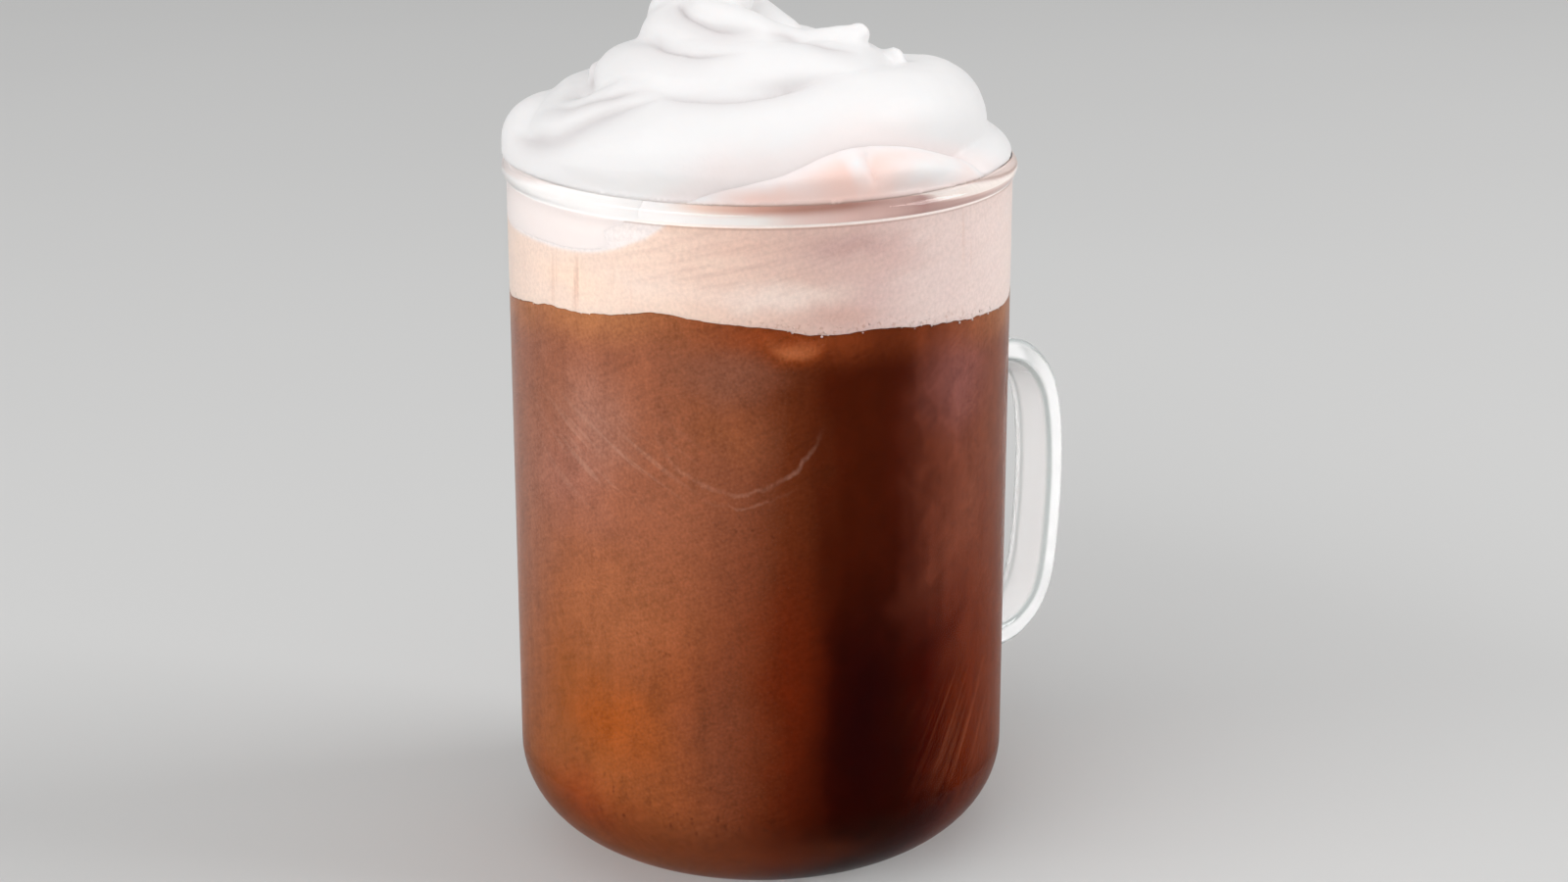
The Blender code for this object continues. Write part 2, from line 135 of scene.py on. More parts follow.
# Folds of foam and cream, as (direction, distance from the axis, height over the rim, thickness / 2)
FOAM_SWELL = (
    (-127, 37.8, -8, 2.6), (-118, 37.4, -5.5, 3.2), (-108, 37, -3.4, 4.6), (-97, 35.8, -1.6, 6.2),
    (-84, 34, -0.2, 7.6), (-71, 33.2, 0.6, 8.3), (-58, 33.6, -0.2, 8), (-44, 34.8, -1.9, 7.1),
    (-29, 36, -4, 6.2), (-14, 37, -5.6, 5), (-2, 37.6, -8.2, 4.2),
)
LOWER_FOLD = (
    (120, 30, -3.4, 7), (140, 31.8, -1.4, 7.6), (160, 33.2, 0.4, 7.6), (180, 34.3, 1.7, 8.1),
    (197, 34.2, -0.6, 8.2), (214, 32.4, -0.6, 9.2), (231, 29.4, 1.3, 11.4), (247, 28.3, 2.3, 12.5),
    (272, 27.6, 3, 12.5), (292, 26.2, 5.4, 11.2), (315, 25.4, 6.6, 10.4), (345, 26.8, 5.6, 10.3),
    (363, 27, 5.2, 10.2), (385, 28, 3, 10.8), (410, 28.6, 1.8, 10.8), (435, 28, 2.8, 11.4),
    (462, 28.6, 1.6, 11), (490, 28.2, 1.2, 10.9), (515, 27.6, 1.8, 10.4), (540, 27.2, 3.4, 9.5),
    (558, 31, 2.4, 8.5), (573, 30.6, 4, 8.2), (591, 26, 8.4, 8.2), (606, 21.5, 9.6, 7),
)
MIDDLE_FOLD = (
    (150, 13, 3, 7), (168, 16.6, 7.6, 8.4), (186, 18.4, 9.4, 9.6), (225, 19.5, 9.8, 11.3),
    (265, 18.9, 9.8, 11.4), (300, 18, 9.6, 11), (335, 14.8, 9.8, 10), (365, 12, 9.8, 9.6),
    (395, 12.4, 8.6, 9.6), (430, 13, 8.8, 10.2), (465, 12, 10.6, 9.8), (500, 11, 12, 9.2),
    (530, 9, 12.6, 8.4),
)
# Small folds and tails, as (right, away, height over the rim, thickness / 2)
TOP_FOLD = (
    (-4, 8, 14, 6), (-11.4, 4.6, 17.6, 6), (-13, -3, 18.8, 6.4), (-11.5, -9.5, 19.4, 7.2),
    (-5.5, -12.6, 18.8, 7.6), (1.5, -11.8, 17.2, 6.2), (7.5, -10.2, 17, 4.8), (11.6, -9.4, 18.2, 4.1),
    (14, -8.8, 19.5, 3.3), (15.8, -8.2, 20.7, 2),
)
TIP_CURL = (
    (2, 3, 16.5, 6), (-4, 6, 20, 6.2), (-10.6, 3.4, 21.2, 6.2), (-12, -2.4, 22.4, 5.9), (-8, -5.2, 24.4, 5),
    (-4.4, -1.6, 26.4, 3.8), (-7.4, 1.4, 28.6, 2.6), (-9.8, 0.2, 30, 1.5), (-9.8, -1.4, 30.8, 0.6),
)
LEFT_CORNER = ((-15, -5, 9, 7), (-21.6, -4.6, 12.6, 4.6), (-25.2, -4, 13.8, 2.6))
RIGHT_TAIL = ((12, -5, 8, 5), (16.8, -5, 12.4, 4.4), (19.6, -5, 14.9, 3.2), (21.6, -5, 16.4, 1.8))
RIGHT_SHOULDER = ((30, 21, -4, 6), (34.8, 7, -2, 6.4), (34.6, -5, -1.6, 6.6), (32, -16, -2.4, 5.8))
BACK_FOLD = ((29, 14, 0, 6), (21, 25, 4, 6.6), (6, 28, 8.4, 6.2), (-9, 22.5, 12.4, 5.6), (-17, 13, 14, 4))
# Creases where one fold of cream lies over the next, from left to right as (right, away, height over
# the rim), each after its lip above the crease and its depth below
CREASES = (
    (0.35, 1.4, ((-13.6, -9, 27.4), (-12.4, -12.3, 26.2), (-10.7, -16.2, 24.9), (-5.2, -18.9, 23),
                 (3, -15.5, 22.6))),
    (0.4, 1.5, ((-18.6, -8, 20.8), (-15.1, -17.7, 20.6), (-11.7, -21, 20.3), (-8.4, -22.5, 20.3),
                (0, -22.8, 20.2))),
    (0.4, 1.5, ((-35.1, -8.9, 9.3), (-30.6, -17.6, 11.7), (-26.9, -20.3, 13), (-22.6, -23, 14.1),
                (-12.5, -26.4, 15))),
    (0.45, 1.4, ((-18.5, -24.5, 15.2), (-11.3, -28.8, 14.5), (-4.1, -30.8, 14.7), (5.1, -27.7, 15.9),
                 (15.3, -20.5, 17.9))),
    (0.25, 1.3, ((-40, -6, 4.3), (-35.8, -16.4, 5.7), (-31.6, -21.9, 7.5), (-23.1, -25.5, 11.9),
                 (-11.5, -27.6, 14.9))),
    (0.2, 0.5, ((-0.8, -17.9, 22.6), (4.1, -14.9, 21.8), (7.9, -15.8, 20.7), (11.2, -17.4, 20.2),
                (17.7, -14.4, 18.5))),
    (0.2, 1.2, ((-25.9, -1, 16), (-26.5, -4.8, 15.6), (-27.2, -7.5, 13.8), (-27.6, -13, 13.4),
                (-27.6, -19.1, 12.9))),
)
# Creases of the foam that swells over the rim: beside its ridge, and under the lip along the rim
SWELL_CREASES = (
    (-0.3, 0.9, ((16.4, -33, 8.4), (16.6, -35.4, 6.2), (17.4, -36.6, 4), (18.6, -37.2, 1))),
    (0.5, 0.8, ((17.5, -37.6, 1.6), (21.6, -35.5, 1.4), (25.5, -32.9, 1.1), (29.5, -29.2, 0.8),
                (34, -23, 0))),
)
CREASE_POINTS = 40
# A crease fades out over this share of its length at each end, and is as wide as this. Its lip and the
# shade below it reach further, and the narrow line in its bottom has this share of the shade.
CREASE_FADE = 0.3
CREASE_WIDTH = 0.9
LIP_REACH = 2.6
SHADE_REACH = 3.5
CREASE_DARK = 0.6
# How far the tint of the risen foam and that of the cream run into each other
BLEND_REACH = 3.2
# Folds: points along each and round it, and the steps of its round nose, which ends in a share of its radius
FOLD_POINTS = 240
FOLD_RING = 40
NOSE_STEPS = 8
NOSE_TIP = 0.02
# Skin of the cream: its step, and how often it is smoothed after folds, creases and pressing
CREAM_VOXEL = 0.48
FOLD_SMOOTHING = 3
CREASE_SMOOTHING = 1
PRESSED_SMOOTHING = 3
# Cream inside the folds, and the plug of it in the mouth of the mug, from one depth to the other
CORE_RADIUS = 33.0
CORE_HEIGHT = 19.0
CORE_STEPS = 96
PLUG_RADIUS = 40.0
PLUG_TOP_DEPTH = 0.8
PLUG_DEPTH = 14.0
# How far the filling may spread over the rim at the sides and at the front. The front's limit widens
# between these angles from the front and up to this height, and the rim holds the filling back between
# these heights over it.
SPREAD_LIMIT = 42.3
FRONT_SPREAD = 41.0
FRONT_REACH = (35.0, 80.0)
FRONT_RISE = 9.0
RIM_HOLD = (-0.1, 0.6)
# Widths over which what would spread further is rounded off, at the front, at the sides and in the glass
FRONT_MARGIN = 2.4
SIDE_MARGIN = 0.3
HARD_MARGIN = 0.01

# Uneven surface of the cream, as (size of the lumps, height)
CREAM_LUMPS = ((9.0, 0.22), (3.2, 0.07))

# Bubbles where foam meets drink: how many on a square metre of the foam's edge, how large, and how far
# they stray down and up, as shares of a reach. Large ones are rarer the higher their rarity is.
BUBBLES = 1.6e6
BUBBLE_RADIUS = (0.08, 0.26)
BUBBLE_RARITY = 2.5
BUBBLE_REACH = 0.35
BUBBLE_STRAY = (-1.0, 0.4)
# They are crowded round one direction, thin out between two angles from it, and stay in a low band
BUBBLE_CROWD = (-50.0, 15.0, 45.0)
BUBBLE_LEAST = 0.06
BUBBLE_BAND = 1.2
BUBBLE_SEED = 7

# Camera, fitted to where the mug is seen from
CAMERA_DISTANCE = 475.0
CAMERA_HEIGHT = 218.57
CAMERA_DOWN = 17.510
CAMERA_RIGHT = 0.483
CAMERA_LENS = 67.47
CAMERA_SENSOR = 36.0

# Plain floor, and soft studio light with a horizon a little dimmer than the ceiling
FLOOR_WIDTH = 6000.0
FLOOR_TONES = ((0.63, 0.63, 0.625), (0.66, 0.66, 0.655))
WORLD_LOW = 0.36
WORLD_HIGH = 0.46
WORLD_RISE = 0.6
# Flat lamps, as (name, direction, rise, distance, width, depth, how strongly they light a white surface)
LAMPS = (("key", -135.0, 38.0, 2000.0, 2400.0, 700.0, 0.66), ("side", 0.0, 34.0, 1800.0, 900.0, 900.0, 0.46))
# The one that lights the glass alone
GLASS_LAMP = ("handle_light", -88.0, 30.0, 1500.0, 600.0, 600.0, 0.95)

# Colours of the drink round the mug, as (direction, colour), from the back over the left side to the back:
# its own brown with a band of painted shade, darkest from -73 to -58 and fading out at -84 and -46
DRINK_COLOUR_AND_SHADE = (
    (-180, (0.27, 0.105, 0.062)), (-131, (0.3, 0.108, 0.06)), (-107, (0.26, 0.086, 0.042)),
    (-95, (0.19, 0.056, 0.026)), (-84, (0.105, 0.022, 0.007)), (-73, (0.05, 0.007, 0.0018)),
    (-58, (0.046, 0.006, 0.002)), (-46, (0.12, 0.028, 0.014)), (-34, (0.175, 0.048, 0.026)),
    (0, (0.18, 0.058, 0.03)), (60, (0.26, 0.085, 0.044)), (118, (0.11, 0.024, 0.009)),
    (180, (0.27, 0.105, 0.062)),
)
# Its colours lower down, with the same band of painted shade reaching on to -38
DRINK_FOOT_COLOUR_AND_SHADE = (
    (-180, (0.26, 0.08, 0.026)), (-131, (0.285, 0.084, 0.025)), (-107, (0.235, 0.06, 0.02)),
    (-95, (0.165, 0.036, 0.012)), (-84, (0.085, 0.011, 0.003)), (-73, (0.028, 0.0025, 0.0008)),
    (-58, (0.022, 0.0022, 0.0008)), (-46, (0.034, 0.0018, 0.0006)), (-38, (0.062, 0.005, 0.0012)),
    (-29, (0.115, 0.014, 0.0025)), (0, (0.16, 0.036, 0.01)), (60, (0.25, 0.072, 0.024)),
    (118, (0.09, 0.014, 0.004)), (180, (0.26, 0.08, 0.026)),
)
# Soft spots over both, as (direction, height, reach across, reach up, share, colour); the near-black one at
# -65 deepens the band of painted shade
DRINK_SPOTS = (
    (-164, 66, 16, 60, 0.5, (0.27, 0.125, 0.09)), (-133, 82, 12, 14, 0.55, (0.36, 0.18, 0.135)),
    (-143, 70, 15, 13, 0.45, (0.34, 0.145, 0.11)), (-98, 91.5, 15, 7, 0.55, (0.2, 0.08, 0.048)),
    (-97, 83, 11, 9, 0.5, (0.24, 0.075, 0.028)), (-130, 51, 25, 17, 0.55, (0.325, 0.11, 0.044)),
    (-130, 30, 14, 12, 0.8, (0.36, 0.082, 0.014)), (-138, 13, 20, 10, 0.7, (0.3, 0.05, 0.012)),
    (-100, 30, 10, 27, 0.55, (0.155, 0.048, 0.024)), (-83, 42, 9, 24, 0.5, (0.13, 0.015, 0.003)),
    (-65, 33, 10, 30, 0.85, (0.012, 0.0012, 0.0013)), (-36, 87, 14, 14, 0.6, (0.24, 0.092, 0.082)),
    (-96, 9, 30, 7, 0.5, (0.22, 0.05, 0.018)), (-84, 97, 14, 5, 0.75, (0.25, 0.048, 0.009)),
    (-81, 96.6, 6.5, 2.4, 1, (0.44, 0.14, 0.052)),
)
# Drink just under the foam: at the left and, redder, at the front
UNDER_FOAM_COLOURS = ((0.42, 0.165, 0.066), (0.21, 0.042, 0.012))
RUST_STROKES = (0.34, 0.10, 0.045)
MILK_WISPS = (0.47, 0.26, 0.19)
MILK_LINES = (0.50, 0.29, 0.21)
COCOA_FLECKS = (0.06, 0.014, 0.006)
# Where those flecks are, as (direction, height, reach across, reach up)
FLECKED_PLACES = ((-136, 16, 22, 14), (-112, 42, 16, 14), (-90, 64, 14, 16), (-100, 16, 24, 12))
# Foam under the rim, with its spots; its mauve band round -78 to -64 is painted shade
FOAM_COLOUR_AND_SHADE = (
    (-180, (0.8, 0.63, 0.54)), (-125, (0.84, 0.65, 0.545)), (-106, (0.8, 0.6, 0.5)),
    (-92, (0.75, 0.54, 0.455)), (-78, (0.68, 0.48, 0.42)), (-64, (0.66, 0.47, 0.43)),
    (-50, (0.72, 0.57, 0.53)), (-20, (0.76, 0.62, 0.58)), (60, (0.82, 0.65, 0.56)),
    (180, (0.8, 0.63, 0.54)),
)
FOAM_SPOTS = (
    (-69, 112, 13, 3.6, 0.6, (0.5, 0.31, 0.28)), (-92, 112, 12, 3, 0.45, (0.72, 0.48, 0.39)),
    (-118, 105, 14, 4, 0.5, (0.83, 0.68, 0.6)), (-86, 104, 18, 3.4, 0.7, (0.86, 0.74, 0.67)),
    (-72, 100, 10, 2.6, 0.6, (0.6, 0.37, 0.3)), (-140, 104, 14, 4, 0.5, (0.9, 0.67, 0.52)),
)
FOAM_STREAKS = (0.54, 0.35, 0.295)
FOAM_RUNS = (0.62, 0.37, 0.27)
FOAM_SPECKS = (0.45, 0.24, 0.17)
# Foam over the rim: away from the cream and beside it, and a painted highlight on its ridge and its lip
SWELL_COLOURS = ((1.0, 0.70, 0.63), (0.97, 0.86, 0.845))
RIDGE_HIGHLIGHT = (0.93, 0.90, 0.90)
# Cream behind the bead of the rim, whiter than cream in the open: painted light where the bead and the cream
# over it shade it
LIT_BEAD_CREAM = (0.95, 0.91, 0.895)
# Painted light and shade on the foam behind the upper and the lower half of the bead, as (direction, colour),
# for the bead's dark line along its top and its bright band below, then painted light just under it, and a
# painted shade line at the bead's foot
UPPER_BEAD_SHADING = (
    (-180, LIT_BEAD_CREAM), (-114, LIT_BEAD_CREAM), (-106, (1, 0.74, 0.63)), (-90, (0.77, 0.43, 0.34)),
    (-70, (0.5, 0.24, 0.19)), (-50, (0.47, 0.26, 0.23)), (-30, (0.66, 0.44, 0.4)), (0, (0.88, 0.7, 0.64)),
    (60, LIT_BEAD_CREAM), (180, LIT_BEAD_CREAM),
)
LOWER_BEAD_SHADING = (
    (-180, LIT_BEAD_CREAM), (-108, (0.99, 0.95, 0.93)), (-90, (1, 0.95, 0.91)), (-72, (0.9, 0.63, 0.57)),
    (-50, (0.52, 0.31, 0.28)), (-30, (0.75, 0.55, 0.5)), (0, (0.95, 0.85, 0.81)), (180, LIT_BEAD_CREAM),
)
UNDER_BEAD_LIGHT = (0.97, 0.86, 0.81)
BEAD_SHADE = (0.34, 0.18, 0.13)
# Cream in the open; its spots of painted light along the rim and of pinkish painted shade over the foam's
# swell;
# its painted shade where it is pressed against the glass; and the painted shade in its creases
CREAM_WHITE = (0.90, 0.885, 0.885)
CREAM_LIGHT_AND_SHADE = (
    (-110, RIM_HEIGHT + 1, 22, 5, 1, (0.98, 0.94, 0.93)),
    (-94, RIM_HEIGHT + 5, 14, 7, 0.8, (0.93, 0.82, 0.8)),
    (-62, RIM_HEIGHT + 9, 17, 7, 0.8, (0.93, 0.83, 0.81)),
)
SHADED_PRESSED_CREAM = (0.84, 0.755, 0.73)
CREASE_SHADE = (0.58, 0.53, 0.53)
# Painted shade on the glass along its rounded edges
EDGE_GLASS_SHADE = (0.42, 0.47, 0.46)


class Socket:
    """One output of a node. Sums written on it add the nodes that work them out."""

    def __init__(self, graph, output):
        self.graph = graph
        self.output = output

    def maths(self, operation, *values):
        """A Math node on numbers and sockets."""
        return self.graph.add("ShaderNodeMath", {"operation": operation}, dict(enumerate(values)))

    def __add__(self, other):
        return self.maths("ADD", self, other)

    def __radd__(self, other):
        return self.maths("ADD", other, self)

    def __sub__(self, other):
        return self.maths("SUBTRACT", self, other)

    def __rsub__(self, other):
        return self.maths("SUBTRACT", other, self)

    def __mul__(self, other):
        return self.maths("MULTIPLY", self, other)

    def __rmul__(self, other):
        return self.maths("MULTIPLY", other, self)

    def __truediv__(self, other):
        return self.maths("DIVIDE", self, other)

    def __pow__(self, other):
        return self.maths("POWER", self, other)


class Graph:
    """A node tree, to which one method adds every node."""

    def __init__(self, tree):
        self.tree = tree

    def add(self, kind, settings=None, inputs=None, output=0):
        """A node of one kind, its settings first, then the values or links of its sockets."""
        node = self.tree.nodes.new(kind)
        for name, value in (settings or {}).items():
            setattr(node, name, value)
        for key, value in (inputs or {}).items():
            if isinstance(value, Socket):
                self.tree.links.new(value.output, node.inputs[key])
            else:
                node.inputs[key].default_value = value
        return Socket(self, node.outputs[output]) if len(node.outputs) else node

    def mix(self, share, start, end):
        """A colour part of the way from one to another."""
        colours = {0: share, 6: rgba(start), 7: rgba(end)}
        return self.add("ShaderNodeMix", {"data_type": "RGBA"}, colours, output=2)

    def vector(self, operation, *values, output="Vector"):
        """Vector maths on places and sockets."""
        return self.add("ShaderNodeVectorMath", {"operation": operation}, dict(enumerate(values)), output)

    def scaled(self, colour, share):
        """A colour made brighter or darker by a number or a value."""
        return self.add("ShaderNodeVectorMath", {"operation": "SCALE"}, {0: colour, "Scale": share})

    def step(self, value, low, high):
        """0 up to low and 1 from high on, with a soft change between."""
        settings = {"interpolation_type": "SMOOTHSTEP"}
        return self.add("ShaderNodeMapRange", settings, {0: value, 1: low, 2: high})


class Finish(Graph):
    """A material's node tree, with the places on the piece that its patterns follow."""

    def __init__(self, name):
        self.material = bpy.data.materials.new(name)
        self.material.use_nodes = True
        super().__init__(self.material.node_tree)
        self.shader = self.tree.nodes["Principled BSDF"]
        self.place = self.add("ShaderNodeTexCoord", output="Object")
        self.split = self.add("ShaderNodeSeparateXYZ", inputs={0: self.place}).output.node

    def set(self, **values):
        """Puts values or links on the shader's own sockets, named with _ for each space."""
        for name, value in values.items():
            socket = self.shader.inputs[name.replace("_", " ")]
            if isinstance(value, Socket):
                self.tree.links.new(value.output, socket)
            else:
                socket.default_value = value

    @property
    def height(self):
        """Height over the table, in millimetres."""
        return Socket(self, self.split.outputs["Z"]) / MM

    def marked(self, name):
        """A value that the piece's own points carry."""
        return self.add("ShaderNodeAttribute", {"attribute_name": name}, output="Fac")

    def round_ramp(self, share, colours):
        """A colour read off (direction, colour) stops at a share of the way round."""
        ramp = self.add("ShaderNodeValToRGB", inputs={0: share})
        elements = ramp.output.node.color_ramp.elements
        while len(elements) < len(colours):
            elements.new(0.5)
        for element, (direction, colour) in zip(elements, colours):
            element.position = direction / 360.0 + 0.5
            element.color = (*colour, 1.0)
        return ramp

    def drifting(self, size, shift):
        """The place on the piece, carried off by up to this many millimetres, so that edges wander."""
        values = {"Vector": self.place, "Scale": 1.0 / (size * MM)}
        away = self.add("ShaderNodeTexNoise", inputs=values, output="Color")
        centred = self.vector("SUBTRACT", away, (0.5, 0.5, 0.5))
        return self.vector("MULTIPLY_ADD", centred, (2.0 * shift * MM,) * 3, self.place)

    def spot(self, place, direction, height, across, up):
        """A soft oval on the wall of the mug, gone at these many millimetres across and up."""
        offset = self.vector("SUBTRACT", place, on_the_wall(direction, height))
        scaled = self.vector("MULTIPLY", offset, (1.0 / (across * MM), 1.0 / (across * MM), 1.0 / (up * MM)))
        return self.step(self.vector("LENGTH", scaled, output="Value"), 1.0, 0.0)

    def spots(self, place, *spots):
        """The sum of soft ovals, each (direction, height, across, up)."""
        first, *others = (self.spot(place, *spot) for spot in spots)
        return sum(others, first)

    def layered(self, colour, *layers):
        """Colours laid over a first one in turn, each a (share, colour) pair."""
        for share, over in layers:
            colour = self.mix(share, colour, over)
        return colour

    def spotted(self, place, colour, spots):
        """A colour with soft spots over it, each (direction, height, across, up, share, its own colour)."""
        return self.layered(colour, *((self.spot(place, *spot[:4]) * spot[4], spot[5]) for spot in spots))

    def stroke(self, value, middle, width):
        """A soft line where a value passes through its middle."""
        off = value - middle
        return self.step(off.maths("ABSOLUTE", off), width, 0.0)

    def fibres(self, along, across, detail=3.0):
        """Noise from 0 to 1 drawn out along one value and fine across the other."""
        vector = self.add("ShaderNodeCombineXYZ", inputs={0: along, 1: across})
        return self.add("ShaderNodeTexNoise", inputs={"Vector": vector, "Scale": 1.0, "Detail": detail})

    @property
    def direction(self):
        """Direction round the mug in degrees, from -180 to 180 as it is served."""
        away = self.towards(90.0)
        return away.maths("ARCTAN2", away, self.towards(0.0)) * math.degrees(1.0)

    def spot_distance(self, direction, height):
        """Millimetres from a place on the wall of the mug."""
        return self.vector("DISTANCE", self.place, on_the_wall(direction, height), output="Value") / MM

    def towards(self, direction):
        """1 on the side that faces this direction, falling to -1 on the far side."""
        angle = math.radians(direction - SERVING_TURN)
        unit = self.vector("NORMALIZE", self.vector("MULTIPLY", self.place, (1.0, 1.0, 0.0)))
        return self.vector("DOT_PRODUCT", unit, (math.cos(angle), math.sin(angle), 0.0), output="Value")

    def near(self, direction, spread):
        """A soft patch on one side of the mug, gone at this many degrees from its middle."""
        return self.step(self.towards(direction), math.cos(math.radians(spread)), 1.0)

    def clouds(self, size, stretch=(1.0, 1.0, 1.0), detail=3.0, roughness=0.5, distortion=0.0):
        """Soft noise from 0 to 1 with lumps of this many millimetres."""
        stretched = self.add("ShaderNodeMapping", inputs={"Vector": self.place, "Scale": stretch})
        values = {
            "Vector": stretched,
            "Scale": 1.0 / (size * MM),
            "Detail": detail,
            "Roughness": roughness,
            "Distortion": distortion,
        }
        return self.add("ShaderNodeTexNoise", inputs=values)

    def bump(self, height, distance):
        """Small relief, as high in millimetres as distance says where height is 1."""
        return self.add("ShaderNodeBump", inputs={"Distance": distance * MM, "Height": height})


def rgba(colour):
    """A colour with its alpha, or a node's colour as it is."""
    return colour if isinstance(colour, Socket) else (*colour, 1.0)


def served(right, away, height):
    """A place given as seen from where the mug is served, in the mug's own frame."""
    turn = math.radians(-SERVING_TURN)
    x = right * math.cos(turn) - away * math.sin(turn)
    y = right * math.sin(turn) + away * math.cos(turn)
    return x, y, RIM_HEIGHT + height


def on_the_wall(direction, height):
    """A place on the inside of the mug's wall, in metres."""
    turn = math.radians(direction - SERVING_TURN)
    return INSIDE_RADIUS * MM * math.cos(turn), INSIDE_RADIUS * MM * math.sin(turn), height * MM


def served_direction(points):
    """Which way each point lies from the mug's axis, from -180 to 180."""
    return (np.degrees(np.arctan2(points[:, 1], points[:, 0])) + SERVING_TURN + 180.0) % 360.0 - 180.0


def spread_of(points):
    """How far each point lies from the mug's axis."""
    return np.hypot(points[:, 0], points[:, 1])


def eased(value, low, high):
    """0 up to low and 1 from high on, with a soft change between."""
    t = np.clip((value - low) / (high - low), 0.0, 1.0)
    return t * t * (3 - 2 * t)


def smooth_through(stations, count):
    """Points of a Catmull-Rom curve through the stations, whatever their columns hold."""
    knots = np.array(stations, float)
    knots = np.vstack([2 * knots[0] - knots[1], knots, 2 * knots[-1] - knots[-2]])
    places = np.linspace(0.0, len(stations) - 1.0, count)
    spans = np.minimum(places.astype(int), len(stations) - 2)
    t = (places - spans)[:, None]
    before, start, end, after = (knots[spans + i] for i in range(4))
    return 0.5 * (
        2 * start
        + (end - before) * t
        + (2 * before - 5 * start + 4 * end - after) * t**2
        + (3 * start - before - 3 * end + after) * t**3
    )


def rounded_ends(points, radii):
    """The same route with a round nose added at each end."""
    points, radii = np.array(points, float), np.array(radii, float)
    turns = np.radians(np.linspace(0.0, 90.0, NOSE_STEPS + 1))[1:]
    noses = []
    for end, inner in ((0, 1), (-1, -2)):
        outward = points[end] - points[inner]
        outward /= np.linalg.norm(outward)
        reach = radii[end] * np.sin(turns)
        narrowing = radii[end] * np.maximum(np.cos(turns), NOSE_TIP)
        noses.append((points[end] + outward * reach[:, None], narrowing))
    (first, first_radii), (last, last_radii) = noses
    return np.vstack([first[::-1], points, last]), np.concatenate([first_radii[::-1], radii, last_radii])


def arc(centre, radii, start, end, count):
    """Points of part of an ellipse, from one angle to another in degrees."""
    angles = np.radians(np.linspace(start, end, count + 1))
    return [(centre[0] + radii[0] * math.cos(a), centre[1] + radii[1] * math.sin(a)) for a in angles]


def put_in_scene(name, data):
    """A new object for a mesh, a lamp or a lens."""
    thing = bpy.data.objects.new(name, data)
    bpy.context.scene.collection.objects.link(thing)
    return thing


def as_plain_mesh(thing, name):
    """Takes the result of an object's modifiers as a new plain object, and removes the old one."""
    bpy.context.view_layer.update()
    graph = bpy.context.evaluated_depsgraph_get()
    mesh = bpy.data.meshes.new_from_object(thing.evaluated_get(graph))
    bpy.data.objects.remove(thing, do_unlink=True)
    mesh.name = name
    return put_in_scene(name, mesh)


def cleaned(thing):
    """Merges doubled points and turns every face outwards."""
    shape = bmesh.new()
    shape.from_mesh(thing.data)
    bmesh.ops.remove_doubles(shape, verts=shape.verts, dist=MERGED * MM)
    bmesh.ops.recalc_face_normals(shape, faces=shape.faces)
    shape.to_mesh(thing.data)
    shape.free()
    return thing


def turned(name, profile, steps):
    """A round piece from a profile of (radius, height) that ends on the axis at both ends."""
    mesh = bpy.data.meshes.new(name)
    points = [(radius * MM, 0.0, height * MM) for radius, height in profile]
    mesh.from_pydata(points, [(i, i + 1) for i in range(len(points) - 1)], [])
    thing = put_in_scene(name, mesh)
    screw = thing.modifiers.new("turn", "SCREW")
    screw.angle = math.tau
    screw.steps = screw.render_steps = steps
    screw.use_merge_vertices = True
    screw.merge_threshold = CLOSE * MM
    return cleaned(as_plain_mesh(thing, name))


def round_profile(graph, values):
    """A circle, which the thickness of a rope scales."""
    ring = {"Resolution": values["Ring Points"], "Radius": MM}
    return graph.add("GeometryNodeCurvePrimitiveCircle", inputs=ring)


def strap_profile(graph, values):
    """A rectangle with rounded corners."""
    sides = {"Width": values["Width"], "Height": values["Thickness"]}
    outline = graph.add("GeometryNodeCurvePrimitiveQuadrilateral", inputs=sides)
    corners = {"Curve": outline, "Radius": values["Edge Radius"], "Count": values["Edge Points"]}
    return graph.add("GeometryNodeFilletCurve", {"mode": "POLY"}, corners)


def new_tree(name, *inputs):
    """A graph for geometry nodes and its named inputs, each given as (name, kind)."""
    tree = bpy.data.node_groups.new(name, "GeometryNodeTree")
    for label, kind in inputs:
        tree.interface.new_socket(label, in_out="INPUT", socket_type="NodeSocket" + kind)
    tree.interface.new_socket("Made", in_out="OUTPUT", socket_type="NodeSocketGeometry")
    graph = Graph(tree)
    given = tree.nodes.new("NodeGroupInput")
    return graph, {socket.name: Socket(graph, socket) for socket in given.outputs if socket.name}


def carried(graph, name):
    """A value that the points carry."""
    return graph.add("GeometryNodeInputNamedAttribute", {"data_type": "FLOAT"}, {"Name": name})


def finished(graph, made, finish):
    """Ends geometry nodes in Set Material."""
    coated = graph.add("GeometryNodeSetMaterial", inputs={"Geometry": made, "Material": finish})
    end = graph.tree.nodes.new("NodeGroupOutput")
    graph.tree.links.new(coated.output, end.inputs[0])
    return graph.tree


def sweep_tree(name, profile, *inputs):
    """Geometry nodes that sweep a profile along every line of the mesh, scaled by its thickness."""
    graph, values = new_tree(name, ("Lines", "Geometry"), *inputs, ("Finish", "Material"))
    route = graph.add("GeometryNodeMeshToCurve", inputs={0: values["Lines"]})
    sweep = {
        "Curve": route,
        "Profile Curve": profile(graph, values),
        "Scale": carried(graph, "thickness"),
        "Fill Caps": True,
    }
    swept = graph.add("GeometryNodeCurveToMesh", inputs=sweep)
    whole = graph.add("GeometryNodeRealizeInstances", inputs={0: swept})
    return finished(graph, whole, values["Finish"])


